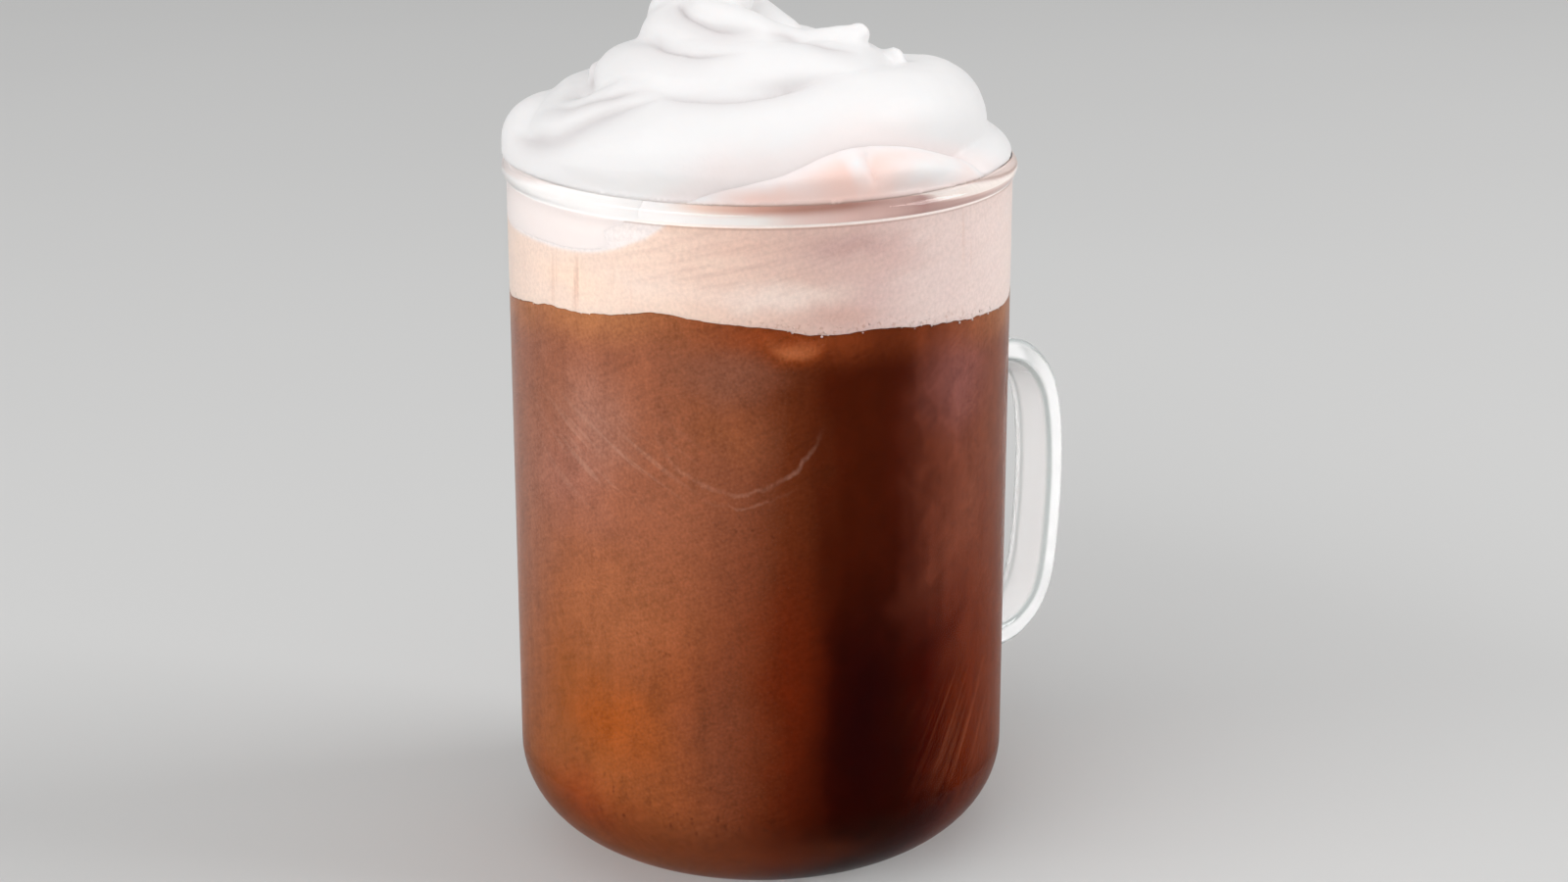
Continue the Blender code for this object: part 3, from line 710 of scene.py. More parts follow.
def bubble_tree():
    """Geometry nodes that add small bubbles to a mesh wherever its points are marked as bubbly."""
    sizes = (("Count", "Float"), ("Reach", "Float"), ("Seed", "Int"))
    graph, values = new_tree("bubbles", ("Foam", "Geometry"), *sizes, ("Finish", "Material"))

    def drawn(low, high, seed):
        """A number drawn at random for each bubble."""
        limits = {2: low, 3: high, "Seed": seed}
        return graph.add("FunctionNodeRandomValue", {"data_type": "FLOAT"}, limits, output=1)

    density = carried(graph, "bubbly") * values["Count"]
    scatter = {"Mesh": values["Foam"], "Density": density, "Seed": values["Seed"]}
    places = graph.add("GeometryNodeDistributePointsOnFaces", inputs=scatter)
    stray = drawn(*BUBBLE_STRAY, values["Seed"]) * values["Reach"]
    shift = graph.add("ShaderNodeCombineXYZ", inputs={2: stray})
    places = graph.add("GeometryNodeSetPosition", inputs={"Geometry": places, "Offset": shift})
    ball = graph.add("GeometryNodeMeshIcoSphere", inputs={"Radius": MM, "Subdivisions": 2})
    low, high = BUBBLE_RADIUS
    size = low + (high - low) * drawn(0.0, 1.0, values["Seed"] + 1.0) ** BUBBLE_RARITY
    copies = {"Points": places, "Instance": ball, "Scale": size}
    bubbles = graph.add("GeometryNodeInstanceOnPoints", inputs=copies)
    whole = graph.add("GeometryNodeRealizeInstances", inputs={0: bubbles})
    both = graph.add("GeometryNodeJoinGeometry")
    for part in (whole, values["Foam"]):
        graph.tree.links.new(part.output, both.output.node.inputs[0])
    return finished(graph, both, values["Finish"])


def with_tree(thing, tree, **values):
    """Runs geometry nodes on an object, with values for its named inputs, and keeps the plain mesh."""
    modifier = thing.modifiers.new(tree.name, "NODES")
    modifier.node_group = tree
    sockets = {item.name: item.identifier for item in tree.interface.items_tree if item.in_out == "INPUT"}
    for label, value in values.items():
        modifier[sockets[label.replace("_", " ")]] = value
    return as_plain_mesh(thing, thing.name)


def lines(name, routes):
    """An object of bare lines, each a (points, thicknesses) pair in millimetres."""
    points, edges, thicknesses = [], [], []
    for route, thickness in routes:
        edges += [(len(points) + i, len(points) + i + 1) for i in range(len(route) - 1)]
        points += [tuple(value * MM for value in point) for point in route]
        thicknesses += list(thickness)
    mesh = bpy.data.meshes.new(name)
    mesh.from_pydata(points, edges, [])
    mesh.attributes.new("thickness", "FLOAT", "POINT").data.foreach_set("value", thicknesses)
    return put_in_scene(name, mesh)


def union_of(thing, other):
    """One body from two that overlap."""
    boolean = thing.modifiers.new("union", "BOOLEAN")
    boolean.operation = "UNION"
    boolean.solver = "EXACT"
    boolean.object = other
    result = as_plain_mesh(thing, thing.name)
    bpy.data.objects.remove(other, do_unlink=True)
    return cleaned(result)


def inside_profile(bite, base_bite):
    """From the top of the inside corner down to the middle of the floor, that far into the glass."""
    radius = INSIDE_RADIUS + bite
    width, height = INSIDE_CORNER[0] + bite, INSIDE_CORNER[1] + bite
    floor = BASE_THICKNESS - base_bite
    corner = arc((radius - width, floor + height), (width, height), 0.0, -90.0, CORNER_SEGMENTS)
    return corner + [(0.0, floor)]


def strap(finish):
    """The handle, swept along its route."""
    rows = smooth_through(HANDLE_ROUTE, HANDLE_POINTS)
    route = [(distance, 0.0, height) for distance, height, _ in rows]
    inputs = (("Width", "Float"), ("Thickness", "Float"), ("Edge Radius", "Float"), ("Edge Points", "Int"))
    swept = with_tree(
        lines("strap", [(route, rows[:, 2])]),
        sweep_tree("strap", strap_profile, *inputs),
        Width=HANDLE_WIDTH * MM,
        Thickness=HANDLE_THICKNESS * MM,
        Edge_Radius=HANDLE_EDGE_RADIUS * MM,
        Edge_Points=HANDLE_EDGE_SEGMENTS,
        Finish=finish,
    )
    return cleaned(swept)


def glass_mug():
    """Mug and handle as one body, each part of it with its own glass."""
    glasses = [clear_glass(*glass) for glass in GLASSES]
    corner = arc((WALL_RADIUS - CORNER[0], CORNER[1]), CORNER, 0.0, -90.0, CORNER_SEGMENTS)
    bead_width, bead_rise = BEAD_RADII
    bead_centre = (INSIDE_RADIUS + bead_width, RIM_HEIGHT - bead_rise)
    bead = arc(bead_centre, BEAD_RADII, 180.0, RIM_FOOT_ANGLE, RIM_SEGMENTS)
    foot = [(WALL_RADIUS, RIM_HEIGHT - RIM_BEAD_HEIGHT)]
    inside = inside_profile(0.0, 0.0)[::-1]
    mug = turned("fine_mug", inside + bead + foot + corner + [(0.0, 0.0)], MUG_STEPS)
    mug = union_of(mug, strap(glasses[HANDLE_GLASS]))
    mug.data.materials.clear()
    for glass in glasses:
        mug.data.materials.append(glass)
    for face in mug.data.polygons:
        x, y, z = face.center / MM
        if z > RIM_HEIGHT - RIM_BEAD_HEIGHT:
            face.material_index = RIM_GLASS
        elif math.hypot(x, y) < WALL_RADIUS + CLOSE:
            face.material_index = WALL_GLASS if z > GLASS_BASE_HEIGHT else BASE_GLASS
    # The painted edge shade is strongest on the handle's rounded edges, between its flat sides and its faces.
    sideways = normals_of(mug.data)[:, 1] ** 2
    mark(mug.data, "glass_edge_shade", 4.0 * sideways * (1.0 - sideways))
    mug.data.shade_smooth()
    mug.data.set_sharp_from_angle(angle=math.radians(SHARP_ANGLE))
    return mug


def drink_wave(direction):
    """How far the level of the drink lies over its mean where it meets the glass."""
    waves = sum(height * np.cos(np.radians(n * direction - crest)) for n, height, crest in DRINK_WAVES)
    return waves - np.interp(direction, *zip(*DRINK_SAGS))


def foam_edge(direction):
    """Height of the foam's top where it meets the glass."""
    start, end = FOAM_CLIMB
    climb = np.clip((direction - start) / (end - start), 0.0, 1.0) ** 3
    return FOAM_LOW + (FOAM_HIGH - FOAM_LOW) * np.minimum(climb, 1.0 - eased(direction, *FOAM_FALL))


def points_of(mesh):
    """A mesh's points in millimetres."""
    points = np.empty(len(mesh.vertices) * 3)
    mesh.vertices.foreach_get("co", points)
    return points.reshape(-1, 3) / MM


def move_points(mesh, points):
    """Puts a mesh's points at places in millimetres."""
    mesh.vertices.foreach_set("co", (points * MM).ravel())
    mesh.update()


def dressed(thing, finish):
    """Gives a finished piece its one finish, smooth all over."""
    thing.data.materials.clear()
    thing.data.materials.append(finish)
    thing.data.shade_smooth()
    return thing


def mark(mesh, name, values):
    """Lets a mesh's points carry a value that its finish reads."""
    mesh.attributes.new(name, "FLOAT", "POINT").data.foreach_set("value", np.asarray(values, np.float32))


def hot_drink(finish):
    """The drink, from the floor of the mug up into the foam, which hides its top."""
    side = inside_profile(DRINK_BITE, DRINK_BASE_BITE)
    radius = side[0][0]
    top = DRINK_LEVEL + DRINK_UNDER_FOAM
    thing = turned("hot_drink", [(0.0, top), (radius, top)] + side, DRINK_STEPS)
    points = points_of(thing.data)
    raised = points[:, 2] > DRINK_LEVEL
    waves = drink_wave(served_direction(points))
    share = np.minimum(spread_of(points) / radius, 1.0) ** 2
    points[:, 2] += raised * share * waves
    move_points(thing.data, points)
    mark(thing.data, "under_foam", DRINK_LEVEL + waves - points[:, 2])
    return dressed(thing, finish)


def filling_limit(height, direction, bite):
    """How far from the axis the filling may reach, and over what width it is rounded off there.

    That is into the glass, or over the rim, but not so far over it at the front.
    """
    inside = INSIDE_RADIUS + bite
    bead_width, bead_rise = BEAD_RADII
    rise = np.clip((height - (RIM_HEIGHT - bead_rise)) / bead_rise, 0.0, 1.0)
    over_bead = inside + bead_width * (1.0 - np.sqrt(1.0 - rise**2))
    free = eased(height, *(RIM_HEIGHT + hold for hold in RIM_HOLD))
    beside_front = eased(abs(direction + 90.0), *FRONT_REACH)
    widening = np.maximum(beside_front, eased(height, RIM_HEIGHT, RIM_HEIGHT + FRONT_RISE))
    spread = FRONT_SPREAD + (SPREAD_LIMIT - FRONT_SPREAD) * widening
    margin = FRONT_MARGIN + (SIDE_MARGIN - FRONT_MARGIN) * widening
    return over_bead + (spread - over_bead) * free, margin * free + HARD_MARGIN


def kept_inside(points, bite):
    """Presses the filling against the glass, and gently rounds off what would spread too far over the rim."""
    spread = spread_of(points)
    limit, margin = filling_limit(points[:, 2], served_direction(points), bite)
    excess = np.maximum(spread - limit + margin, 0.0)
    pressed = np.where(excess > 0.0, limit - margin * np.exp(-excess / margin), spread)
    share = pressed / np.maximum(spread, 1.0)
    points[:, 0] *= share
    points[:, 1] *= share
    return points


def round_the_mug(stations, count):
    """Places and thicknesses along a fold whose stations are directions."""
    rows = smooth_through(stations, count)
    angles = np.radians(rows[:, 0])
    places = zip(rows[:, 1] * np.cos(angles), rows[:, 1] * np.sin(angles), rows[:, 2])
    return [served(*place) for place in places], rows[:, 3]


def across_the_top(stations, count):
    """Places and thicknesses along a fold whose stations are places."""
    rows = smooth_through(stations, count)
    return [served(*row[:3]) for row in rows], rows[:, 3]


def made_from(name, shape):
    """An object from a bmesh, which is let go."""
    mesh = bpy.data.meshes.new(name)
    shape.to_mesh(mesh)
    shape.free()
    return put_in_scene(name, mesh)


def joined(name, things):
    """One object from several, which are removed."""
    shape = bmesh.new()
    for thing in things:
        shape.from_mesh(thing.data)
        bpy.data.objects.remove(thing, do_unlink=True)
    return made_from(name, shape)


def one_skin(thing, voxel):
    """One closed skin round shapes that overlap."""
    remesh = thing.modifiers.new("one_skin", "REMESH")
    remesh.mode = "VOXEL"
    remesh.voxel_size = voxel * MM
    return as_plain_mesh(thing, thing.name)


def softened(thing, times):
    """Smooths a skin that many times."""
    smooth = thing.modifiers.new("soften", "SMOOTH")
    smooth.factor = 0.5
    smooth.iterations = times
    return as_plain_mesh(thing, thing.name)


def normals_of(mesh):
    """Which way a mesh faces at each of its points."""
    normals = np.empty(len(mesh.vertices) * 3, np.float32)
    mesh.vertex_normals.foreach_get("vector", normals)
    return normals.reshape(-1, 3)


def soft_noise(points, lumps):
    """The sum of soft noises at each point, each given as (size, height)."""
    shift = np.zeros(len(points))
    for size, height in lumps:
        shift += [height * noise.noise(Vector(point / size)) for point in points]
    return shift


def nearest_on(route, points):
    """How each point lies from a route's nearest place, how the route runs there, and that place's share."""
    apart = np.full(len(points), np.inf)
    offsets, ways, shares = np.zeros_like(points), np.zeros_like(points), np.zeros(len(points))
    for i, (start, end) in enumerate(zip(route[:-1], route[1:])):
        way = end - start
        share = np.clip((points - start) @ way / (way @ way), 0.0, 1.0)
        offset = points - start - share[:, None] * way
        distance = np.linalg.norm(offset, axis=1)
        closer = distance < apart
        apart[closer] = distance[closer]
        offsets[closer] = offset[closer]
        ways[closer] = way / np.linalg.norm(way)
        shares[closer] = (i + share[closer]) / (len(route) - 1)
    return apart, offsets, ways, shares


def creased(mesh, points, creases):
    """Sinks each crease into the folds, raises a lip over it and marks the painted shade in and below it for
    the finish.
    """
    shade = np.zeros(len(points))
    for lip, depth, stations in creases:
        route = np.array([served(*place) for place in smooth_through(stations, CREASE_POINTS)])
        apart, offsets, ways, shares = nearest_on(route, points)
        normals = normals_of(mesh)
        height = np.einsum("ij,ij->i", np.cross(normals, ways), offsets)
        fade = eased(shares, 0.0, CREASE_FADE) * eased(1.0 - shares, 0.0, CREASE_FADE)
        along_lip = ((height - LIP_REACH) / LIP_REACH) ** 2 + ((apart - abs(height)) / LIP_REACH) ** 2
        lips = lip * np.exp(-along_lip)
        dips = depth * np.exp(-apart / CREASE_WIDTH)
        points = points + normals * (fade * (lips - dips))[:, None]
        move_points(mesh, points)
        below = np.exp(-((apart / SHADE_REACH) ** 2)) * eased(height, 1.0, -1.0)
        narrow = CREASE_DARK * np.exp(-apart / CREASE_WIDTH)
        shade = np.maximum(shade, fade * (narrow + (1.0 - CREASE_DARK) * below))
    mark(mesh, "crease_shading", shade)
    return points


def mark_distance(thing, other, name):
    """Marks how far each point lies from the other piece's skin, no further than matters for blending."""
    faces = [tuple(face.vertices) for face in other.data.polygons]
    skin = BVHTree.FromPolygons(points_of(other.data).tolist(), faces)
    found = [skin.find_nearest(point, BLEND_REACH)[3] for point in points_of(thing.data).tolist()]
    mark(thing.data, name, [BLEND_REACH if apart is None else apart for apart in found])


def foam_plug():
    """The foam inside the mug, between its top and the drink."""
    rings = [PLUG_RADIUS * ring / FOAM_RINGS for ring in range(FOAM_RINGS + 1)]
    profile = [(r, FOAM_MIDDLE) for r in rings] + [(r, DRINK_LEVEL) for r in reversed(rings)]
    thing = turned("foam_plug", profile, FOAM_STEPS)
    points = points_of(thing.data)
    direction = served_direction(points)
    share = np.minimum(spread_of(points) / INSIDE_RADIUS, 1.0) ** 2
    upper = points[:, 2] > (FOAM_MIDDLE + DRINK_LEVEL) / 2
    points[:, 2] += share * np.where(upper, foam_edge(direction) - FOAM_MIDDLE, drink_wave(direction))
    move_points(thing.data, points)
    return thing


def over_drink(points):
    """How far each point lies over the level of the drink below it."""
    return points[:, 2] - DRINK_LEVEL - drink_wave(served_direction(points))


def wavering(points):
    """Lets the lower edge of the foam hang unevenly."""
    near, far = WAVER_REACH
    points[:, 2] += soft_noise(points, FOAM_WAVERS) * eased(-over_drink(points), -far, -near)
    return points


def foam_layer(ropes, finish):
    """The foam with its swell and its bubbles, marked for its finish."""
    swell = with_tree(lines("swell", [round_the_mug(FOAM_SWELL, FOLD_POINTS)]), ropes, Ring_Points=FOLD_RING)
    foam = softened(one_skin(joined("foam_layer", [foam_plug(), swell]), FOAM_VOXEL), FOAM_SMOOTHING)
    points = kept_inside(wavering(creased(foam.data, points_of(foam.data), SWELL_CREASES)), FOAM_BITE)
    move_points(foam.data, points)
    direction, over = served_direction(points), over_drink(points)
    mark(foam.data, "over_drink", over)
    middle, full, few = BUBBLE_CROWD
    crowded = BUBBLE_LEAST + (1.0 - BUBBLE_LEAST) * eased(-abs(direction - middle), -few, -full)
    mark(foam.data, "bubbly", (spread_of(points) > INSIDE_RADIUS) * (over < BUBBLE_BAND) * crowded)
    edge = foam_edge(direction)
    near_cream = np.where(edge < FOAM_HIGH - UNDER_CREAM, np.exp(-np.maximum(edge - points[:, 2], 0.0)), 0.0)
    mark(foam.data, "near_cream", near_cream)
    amounts = {"Count": BUBBLES, "Reach": BUBBLE_REACH * MM, "Seed": BUBBLE_SEED}
    return dressed(with_tree(foam, bubble_tree(), Finish=finish, **amounts), finish)


def cream_core():
    """The cream inside the folds, and its plug in the mouth of the mug."""
    shape = bmesh.new()
    bmesh.ops.create_uvsphere(shape, u_segments=CORE_STEPS, v_segments=CORE_STEPS // 2, radius=MM)
    for vertex in shape.verts:
        x, y, z = vertex.co
        vertex.co = (x * CORE_RADIUS, y * CORE_RADIUS, z * CORE_HEIGHT + RIM_HEIGHT * MM)
    top, bottom = RIM_HEIGHT - PLUG_TOP_DEPTH, RIM_HEIGHT - PLUG_DEPTH
    profile = [(0.0, top), (PLUG_RADIUS, top), (PLUG_RADIUS, bottom), (0.0, bottom)]
    return [made_from("cream_core", shape), turned("cream_plug", profile, CORE_STEPS)]


def cream_heap(ropes, finish):
    """The cream, folded over its core, creased, and pressed into the mug."""
    routes = [rounded_ends(*round_the_mug(fold, FOLD_POINTS)) for fold in (LOWER_FOLD, MIDDLE_FOLD)]
    for fold in (TOP_FOLD, TIP_CURL, LEFT_CORNER, RIGHT_TAIL, RIGHT_SHOULDER, BACK_FOLD):
        routes.append(rounded_ends(*across_the_top(fold, FOLD_POINTS // 2)))
    folds = with_tree(lines("folds", routes), ropes, Ring_Points=FOLD_RING)
    cream = softened(one_skin(joined("cream_heap", [*cream_core(), folds]), CREAM_VOXEL), FOLD_SMOOTHING)
    move_points(cream.data, creased(cream.data, points_of(cream.data), CREASES))
    cream = softened(cream, CREASE_SMOOTHING)
    points = points_of(cream.data)
    points = points + normals_of(cream.data) * soft_noise(points, CREAM_LUMPS)[:, None]
    move_points(cream.data, kept_inside(points, CREAM_BITE))
    return dressed(softened(cream, PRESSED_SMOOTHING), finish)


def clear_glass(name, bending, shine, clarity, edge_shaded, unveiled):
    """Glass that casts no shadow, with values as in GLASSES."""
    finish = Finish(name)
    white = (1.0, 1.0, 1.0, 1.0)
    finish.set(
        # Painted shade along the handle's rounded edges
        Base_Color=finish.mix(finish.marked("glass_edge_shade"), white[:3], EDGE_GLASS_SHADE) if edge_shaded else white,
        Roughness=0.0,
        IOR=bending,
        Specular_Tint=(shine, shine, shine, 1.0),
        Transmission_Weight=clarity,
    )
    glass = Socket(finish, finish.shader.outputs[0])
    if unveiled:
        bare = {"Color": white, "Roughness": 0.0, "IOR": bending}
        bending_only = finish.add("ShaderNodeBsdfRefraction", inputs=bare)
        glass = finish.add("ShaderNodeMixShader", inputs={0: unveiled, 1: glass, 2: bending_only})
    clear = finish.add("ShaderNodeBsdfTransparent", inputs={0: white})
    lamp = finish.add("ShaderNodeLightPath", output="Is Shadow Ray")
    both = finish.add("ShaderNodeMixShader", inputs={0: lamp, 1: glass, 2: clear})
    finish.tree.links.new(both.output, finish.tree.nodes["Material Output"].inputs["Surface"])
    return finish.material


def chocolate_drink():
    """Milky at the left, a band of painted shade right of the middle, pinkish beyond, rusty at the foot, with
    painted light at the very foot.
    """
    finish = Finish("mocha_drink_fine")
    height, direction = finish.height, finish.direction
    swirls = finish.clouds(24.0, (1.0, 1.0, 0.7), detail=5.0, distortion=1.2) - 0.5
    mottling = finish.clouds(4.5, (1.0, 1.0, 0.8), detail=4.0, roughness=0.6, distortion=0.8) - 0.5
    streaks = finish.clouds(2.4, (1.0, 1.0, 0.05), detail=4.0, roughness=0.6) - 0.5
    grain = finish.clouds(0.5, detail=2.0) - 0.5
    drifting = finish.drifting(9.0, 4.0)
    turned_share = (direction + swirls * 16.0 + streaks * 5.0 + mottling * 7.0) / 360.0 + 0.5
    # Its colour round the mug, with the band of painted shade right of the front
    both = (finish.round_ramp(turned_share, colours) for colours in (DRINK_COLOUR_AND_SHADE, DRINK_FOOT_COLOUR_AND_SHADE))
    colour = finish.mix(finish.step(height + swirls * 30.0, 74.0, 34.0), *both)
    colour = finish.spotted(drifting, colour, DRINK_SPOTS)
    tan_layer = finish.step(finish.marked("under_foam"), 7.5, 0.5) * (0.85 + swirls * 1.2)
    tan = finish.mix(finish.near(-70.0, 60.0), *UNDER_FOAM_COLOURS)
    strokes = finish.fibres(height / 30.0, (direction * 1.15 - height) / 3.4, detail=4.0)
    strokes = finish.step(strokes, 0.45, 0.68) * finish.spot(drifting, -34.0, 26.0, 17.0, 20.0)
    wisps = finish.fibres(direction / 26.0, (height + direction * 0.42) / 1.6, detail=4.0)
    wisps = finish.step(wisps, 0.52, 0.68) * finish.spot(drifting, -131.0, 76.0, 24.0, 13.0)
    bowl = finish.spot_distance(-96.0, 86.5) + swirls * 5.0 + mottling * 2.0
    milk_lines = finish.stroke(bowl, 14.0, 0.6) * finish.step(height, 84.0, 76.0)
    milk_lines = milk_lines + finish.stroke(bowl, 16.2, 0.4) * finish.spot(drifting, -92.0, 71.0, 9.0, 5.0)
    flecks = finish.step(finish.clouds(0.9, (1.0, 1.0, 0.6), detail=2.0), 0.64, 0.74)
    colour = finish.layered(
        colour,
        (tan_layer * 0.7, tan),
        (strokes * 0.3, RUST_STROKES),
        (wisps * 0.35, MILK_WISPS),
        (milk_lines * (0.5 + streaks * 2.0) * 0.24, MILK_LINES),
        (flecks * finish.spots(drifting, *FLECKED_PLACES) * 0.5, COCOA_FLECKS),
    )
    brushed = finish.fibres(direction / 9.0, (height - direction * 0.3) / 0.8, detail=4.0) - 0.5
    shade = 0.95 + mottling * 0.6 + streaks * 0.3 + grain * 0.7 + brushed * 0.35
    # Painted light: lighter towards the foot, against the shade that falls there
    shade = shade + finish.step(height, 14.0, 4.0) * 0.6
    finish.set(Base_Color=finish.scaled(colour, shade), Roughness=0.5, Specular_IOR_Level=0.0)
    return finish.material


def warm_foam():
    """Peach foam, streaked, mauve with painted shade at the front, paler along its right side and over the
    rim, with painted light and shade behind the rim's bead and a painted highlight on its swell.
    """
    finish = Finish("milk_foam_fine")
    height, direction = finish.height, finish.direction
    over_rim = height - RIM_HEIGHT
    drifts = finish.clouds(18.0, (1.0, 1.0, 2.2), detail=4.0, distortion=1.0) - 0.5
    grain = finish.clouds(0.6, detail=2.0) - 0.5
    drifting = finish.drifting(7.0, 2.6)
    turned_share = (direction + drifts * 26.0) / 360.0 + 0.5
    # Its colour round the mug, with the mauve band of painted shade at the front
    colour = finish.spotted(drifting, finish.round_ramp(turned_share, FOAM_COLOUR_AND_SHADE), FOAM_SPOTS)
    slanting = finish.fibres(direction / 20.0, (height - direction * 0.17) / 1.1, detail=5.0)
    slanting = finish.step(slanting, 0.40, 0.74) * (0.2 + finish.spot(drifting, -86.0, 110.0, 36.0, 9.0))
    runs = finish.step(finish.fibres(direction / 2.6, height / 40.0), 0.55, 0.68)
    runs = runs * finish.spots(drifting, (-138.0, 103.0, 20.0, 8.0), (-30.0, 111.0, 7.0, 9.0))
    creamy = finish.step(finish.marked("near_cream") + drifts * 0.5, 0.35, 0.95)
    specks = finish.step(finish.clouds(0.8, detail=2.0), 0.56, 0.68)
    specks = specks * finish.step(finish.marked("over_drink"), 3.0, 0.3) * finish.near(-62.0, 48.0)
    # Painted light and shade for the foam seen through the rim's bead
    bead_shading_halves = (finish.round_ramp(turned_share, colours) for colours in (UPPER_BEAD_SHADING, LOWER_BEAD_SHADING))
    bead_shading = finish.mix(finish.step(over_rim, -1.84, -2.2), *bead_shading_halves)
    bead_shading = finish.mix(finish.step(over_rim, -2.26, -2.4), bead_shading, UNDER_BEAD_LIGHT)
    risen = finish.step(over_rim, -0.4, 1.0)
    beside_cream = finish.step(finish.marked("beside_cream"), BLEND_REACH * 0.7, 0.0)
    rosy = finish.spot(drifting, -90.0, RIM_HEIGHT + 0.6, 13.0, 3.2)
    # Painted highlight on the swell's ridge and on its lip along the rim
    ridge = finish.spots(drifting, (-68.0, RIM_HEIGHT + 5.5, 3.4, 7.0), (-46.0, RIM_HEIGHT + 3.5, 13.0, 4.0))
    whitened = finish.spot(drifting, -107.0, RIM_HEIGHT + 1.0, 11.0, 5.0) + 0.6 * finish.near(-40.0, 28.0)
    colour = finish.layered(
        colour,
        (slanting * 0.45, FOAM_STREAKS),
        (runs * 0.5, FOAM_RUNS),
        # The cream pressed against the glass, darkened with painted shade
        (creamy, SHADED_PRESSED_CREAM),
        (specks * 0.5, FOAM_SPECKS),
        # Painted light and shade behind the bead, then a painted shade line at its foot
        (finish.step(over_rim, -3.4, -2.9) * finish.step(over_rim, 0.2, -0.6), bead_shading),
        (finish.stroke(over_rim, -3.6, 0.5) * 0.5, BEAD_SHADE),
        (risen, finish.mix(beside_cream, *SWELL_COLOURS)),
        (rosy * risen, SWELL_COLOURS[0]),
        (ridge * risen, RIDGE_HIGHLIGHT),
        (whitened * risen, CREAM_WHITE),
    )
    finish.set(
        Base_Color=finish.scaled(colour, 1.0 + grain * 0.3 * finish.step(over_rim, -2.0, -3.6)),
        Roughness=0.6,
        Specular_IOR_Level=0.1,
        Subsurface_Weight=0.3,
        Subsurface_Radius=(1.0, 0.85, 0.75),
        Subsurface_Scale=2.0 * MM,
    )
    return finish.material


def white_cream():
    """White, blending into pink beside the foam's swell, with pinkish painted shade over the swell and in its
    creases, painted light along the rim and behind its bead, and painted shade where it is pressed against
    the glass.
    """
    finish = Finish("whipped_cream_fine")
    over_rim = finish.height - RIM_HEIGHT
    grain = finish.clouds(1.2, detail=2.0)
    colour = finish.layered(
        # Spots of painted light along the rim and of painted shade over the swell
        finish.spotted(finish.drifting(7.0, 2.0), CREAM_WHITE, CREAM_LIGHT_AND_SHADE),
        (finish.step(finish.marked("beside_foam"), BLEND_REACH, 0.0), SWELL_COLOURS[1]),
        # Painted shade in and below the creases
        (finish.marked("crease_shading") * 0.75, CREASE_SHADE),
        # Painted light on the cream behind the rim's bead
        (finish.step(over_rim, 0.3, -0.6), LIT_BEAD_CREAM),
        # Painted shade on the cream pressed against the glass
        (finish.step(over_rim, -2.8, -3.6), SHADED_PRESSED_CREAM),
    )
    finish.set(
        Base_Color=colour,
        Roughness=0.5,
        Subsurface_Weight=0.4,
        Subsurface_Radius=(1.0, 0.9, 0.85),
        Subsurface_Scale=2.0 * MM,
        Normal=finish.bump(grain, 0.04),
    )
    return finish.material


def pale_floor():
    """The floor that the mug stands on, which isn't part of it."""
    finish = Finish("pale_floor")
    tone = finish.clouds(300.0, detail=2.0)
    finish.set(Base_Color=finish.mix(tone, *FLOOR_TONES), Roughness=0.9)
    half = FLOOR_WIDTH / 2 * MM
    corners = [(-half, -half, 0), (half, -half, 0), (half, half, 0), (-half, half, 0)]
    mesh = bpy.data.meshes.new("floor")
    mesh.from_pydata(corners, [], [(0, 1, 2, 3)])
    floor = put_in_scene("floor", mesh)
    mesh.materials.append(finish.material)


def look_at(thing, target):
    """Turns a lamp to face a place."""
    thing.rotation_euler = (Vector(target) - thing.location).to_track_quat("-Z", "Y").to_euler()


def soft_light(name, direction, rise, distance, width, depth, strength):
    """A flat lamp, by direction and rise in degrees, with values as in LAMPS."""
    lamp = bpy.data.lights.new(name, "AREA")
    lamp.shape = "RECTANGLE"
    lamp.size = width * MM
    lamp.size_y = depth * MM
    lamp.energy = strength * (math.pi * distance * MM) ** 2
    thing = put_in_scene(name, lamp)
    flat = distance * math.cos(math.radians(rise))
    right, away = flat * math.cos(math.radians(direction)), flat * math.sin(math.radians(direction))
    lift = distance * math.sin(math.radians(rise)) - RIM_HEIGHT / 2
    thing.location = [value * MM for value in served(right, away, lift)]
    look_at(thing, (0.0, 0.0, RIM_HEIGHT / 2 * MM))
    return thing


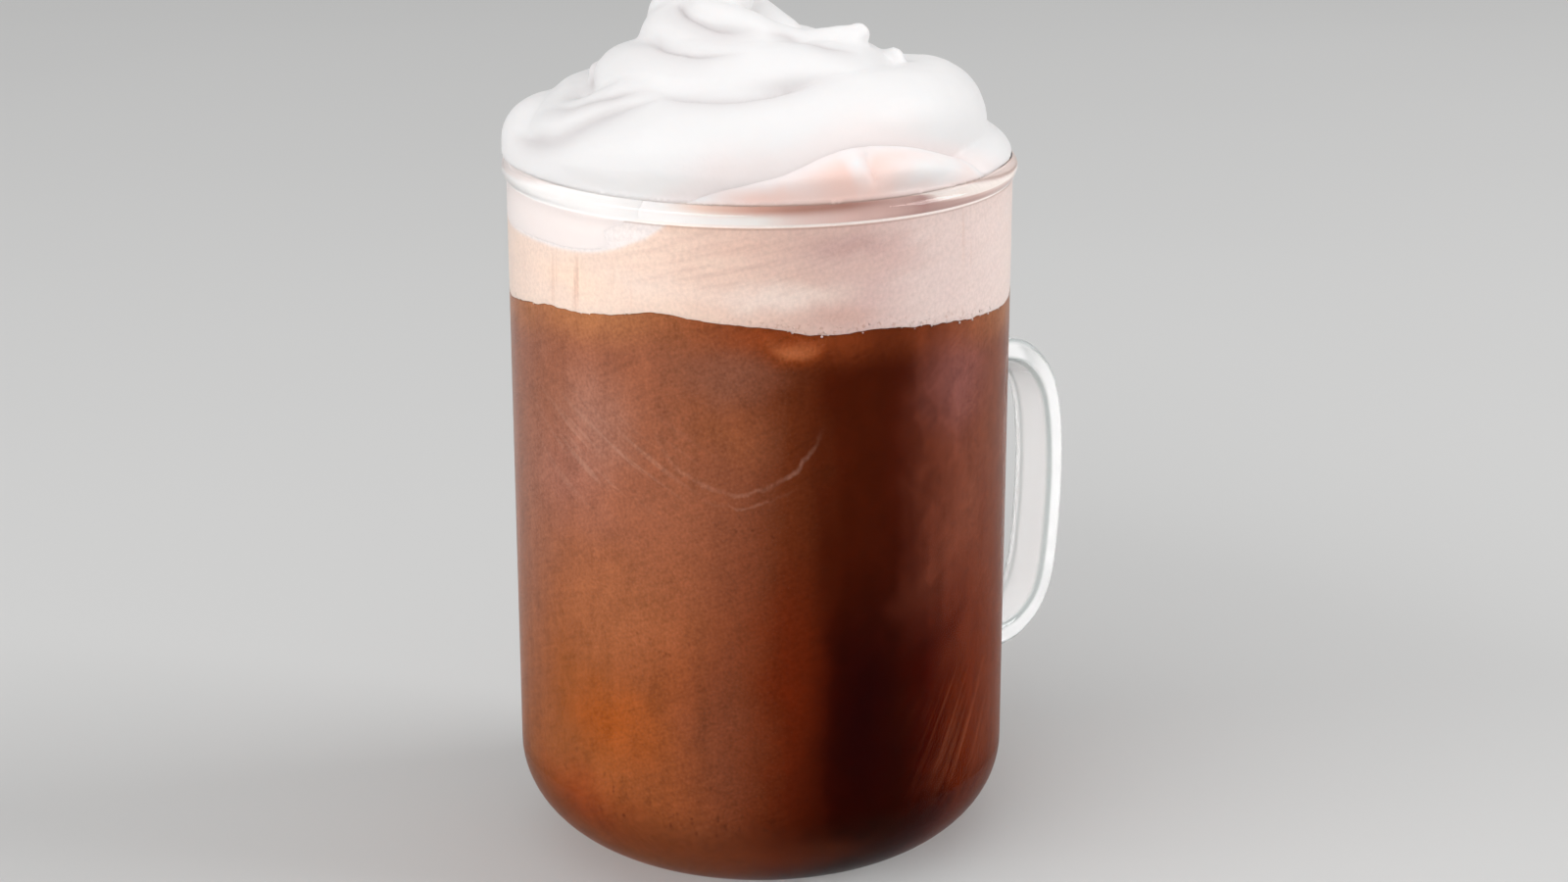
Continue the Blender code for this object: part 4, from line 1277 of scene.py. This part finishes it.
def light_only(lamp, piece):
    """Lets a lamp light one piece alone, and be seen in no reflection."""
    lamp.light_linking.receiver_collection = bpy.data.collections.new("lit_by_" + lamp.name)
    lamp.light_linking.receiver_collection.objects.link(piece)
    lamp.visible_glossy = False
    lamp.visible_transmission = False


def studio():
    """Soft light from all round, and the lamps."""
    world = bpy.data.worlds.new("studio")
    bpy.context.scene.world = world
    world.use_nodes = True
    graph = Graph(world.node_tree)
    way = graph.add("ShaderNodeTexCoord", output="Generated")
    rise = graph.add("ShaderNodeSeparateXYZ", inputs={0: way}, output="Z")
    strength = WORLD_LOW + (WORLD_HIGH - WORLD_LOW) * graph.step(rise, 0.0, WORLD_RISE)
    background = graph.tree.nodes["Background"]
    background.inputs["Color"].default_value = (1.0, 1.0, 1.0, 1.0)
    graph.tree.links.new(strength.output, background.inputs["Strength"])
    for lamp in LAMPS:
        soft_light(*lamp)
    bpy.context.scene.view_settings.view_transform = "Standard"


def camera():
    """The camera, where the photograph was taken from."""
    lens = bpy.data.cameras.new("camera")
    lens.lens = CAMERA_LENS
    lens.sensor_width = CAMERA_SENSOR
    thing = put_in_scene("camera", lens)
    thing.location = [value * MM for value in served(0.0, -CAMERA_DISTANCE, CAMERA_HEIGHT - RIM_HEIGHT)]
    turn = -SERVING_TURN - CAMERA_RIGHT
    thing.rotation_euler = (math.radians(90.0 - CAMERA_DOWN), 0.0, math.radians(turn))
    bpy.context.scene.camera = thing


def dress():
    """Makes the four pieces and says which solids they stand for."""
    ropes = sweep_tree("rope", round_profile, ("Ring Points", "Int"))
    mug = glass_mug()
    light_only(soft_light(*GLASS_LAMP), mug)
    foam, cream = foam_layer(ropes, warm_foam()), cream_heap(ropes, white_cream())
    mark_distance(foam, cream, "beside_cream")
    mark_distance(cream, foam, "beside_foam")
    pieces = (
        (mug, "glass_mug", "clear_glass"),
        (hot_drink(chocolate_drink()), "mocha", "mocha_drink"),
        (foam, "milk_foam", "milk_foam"),
        (cream, "whipped_cream", "whipped_cream"),
    )
    for piece, node, slot in pieces:
        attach(piece, BODY)
        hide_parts(node)


camera()
studio()
pale_floor()
dress()
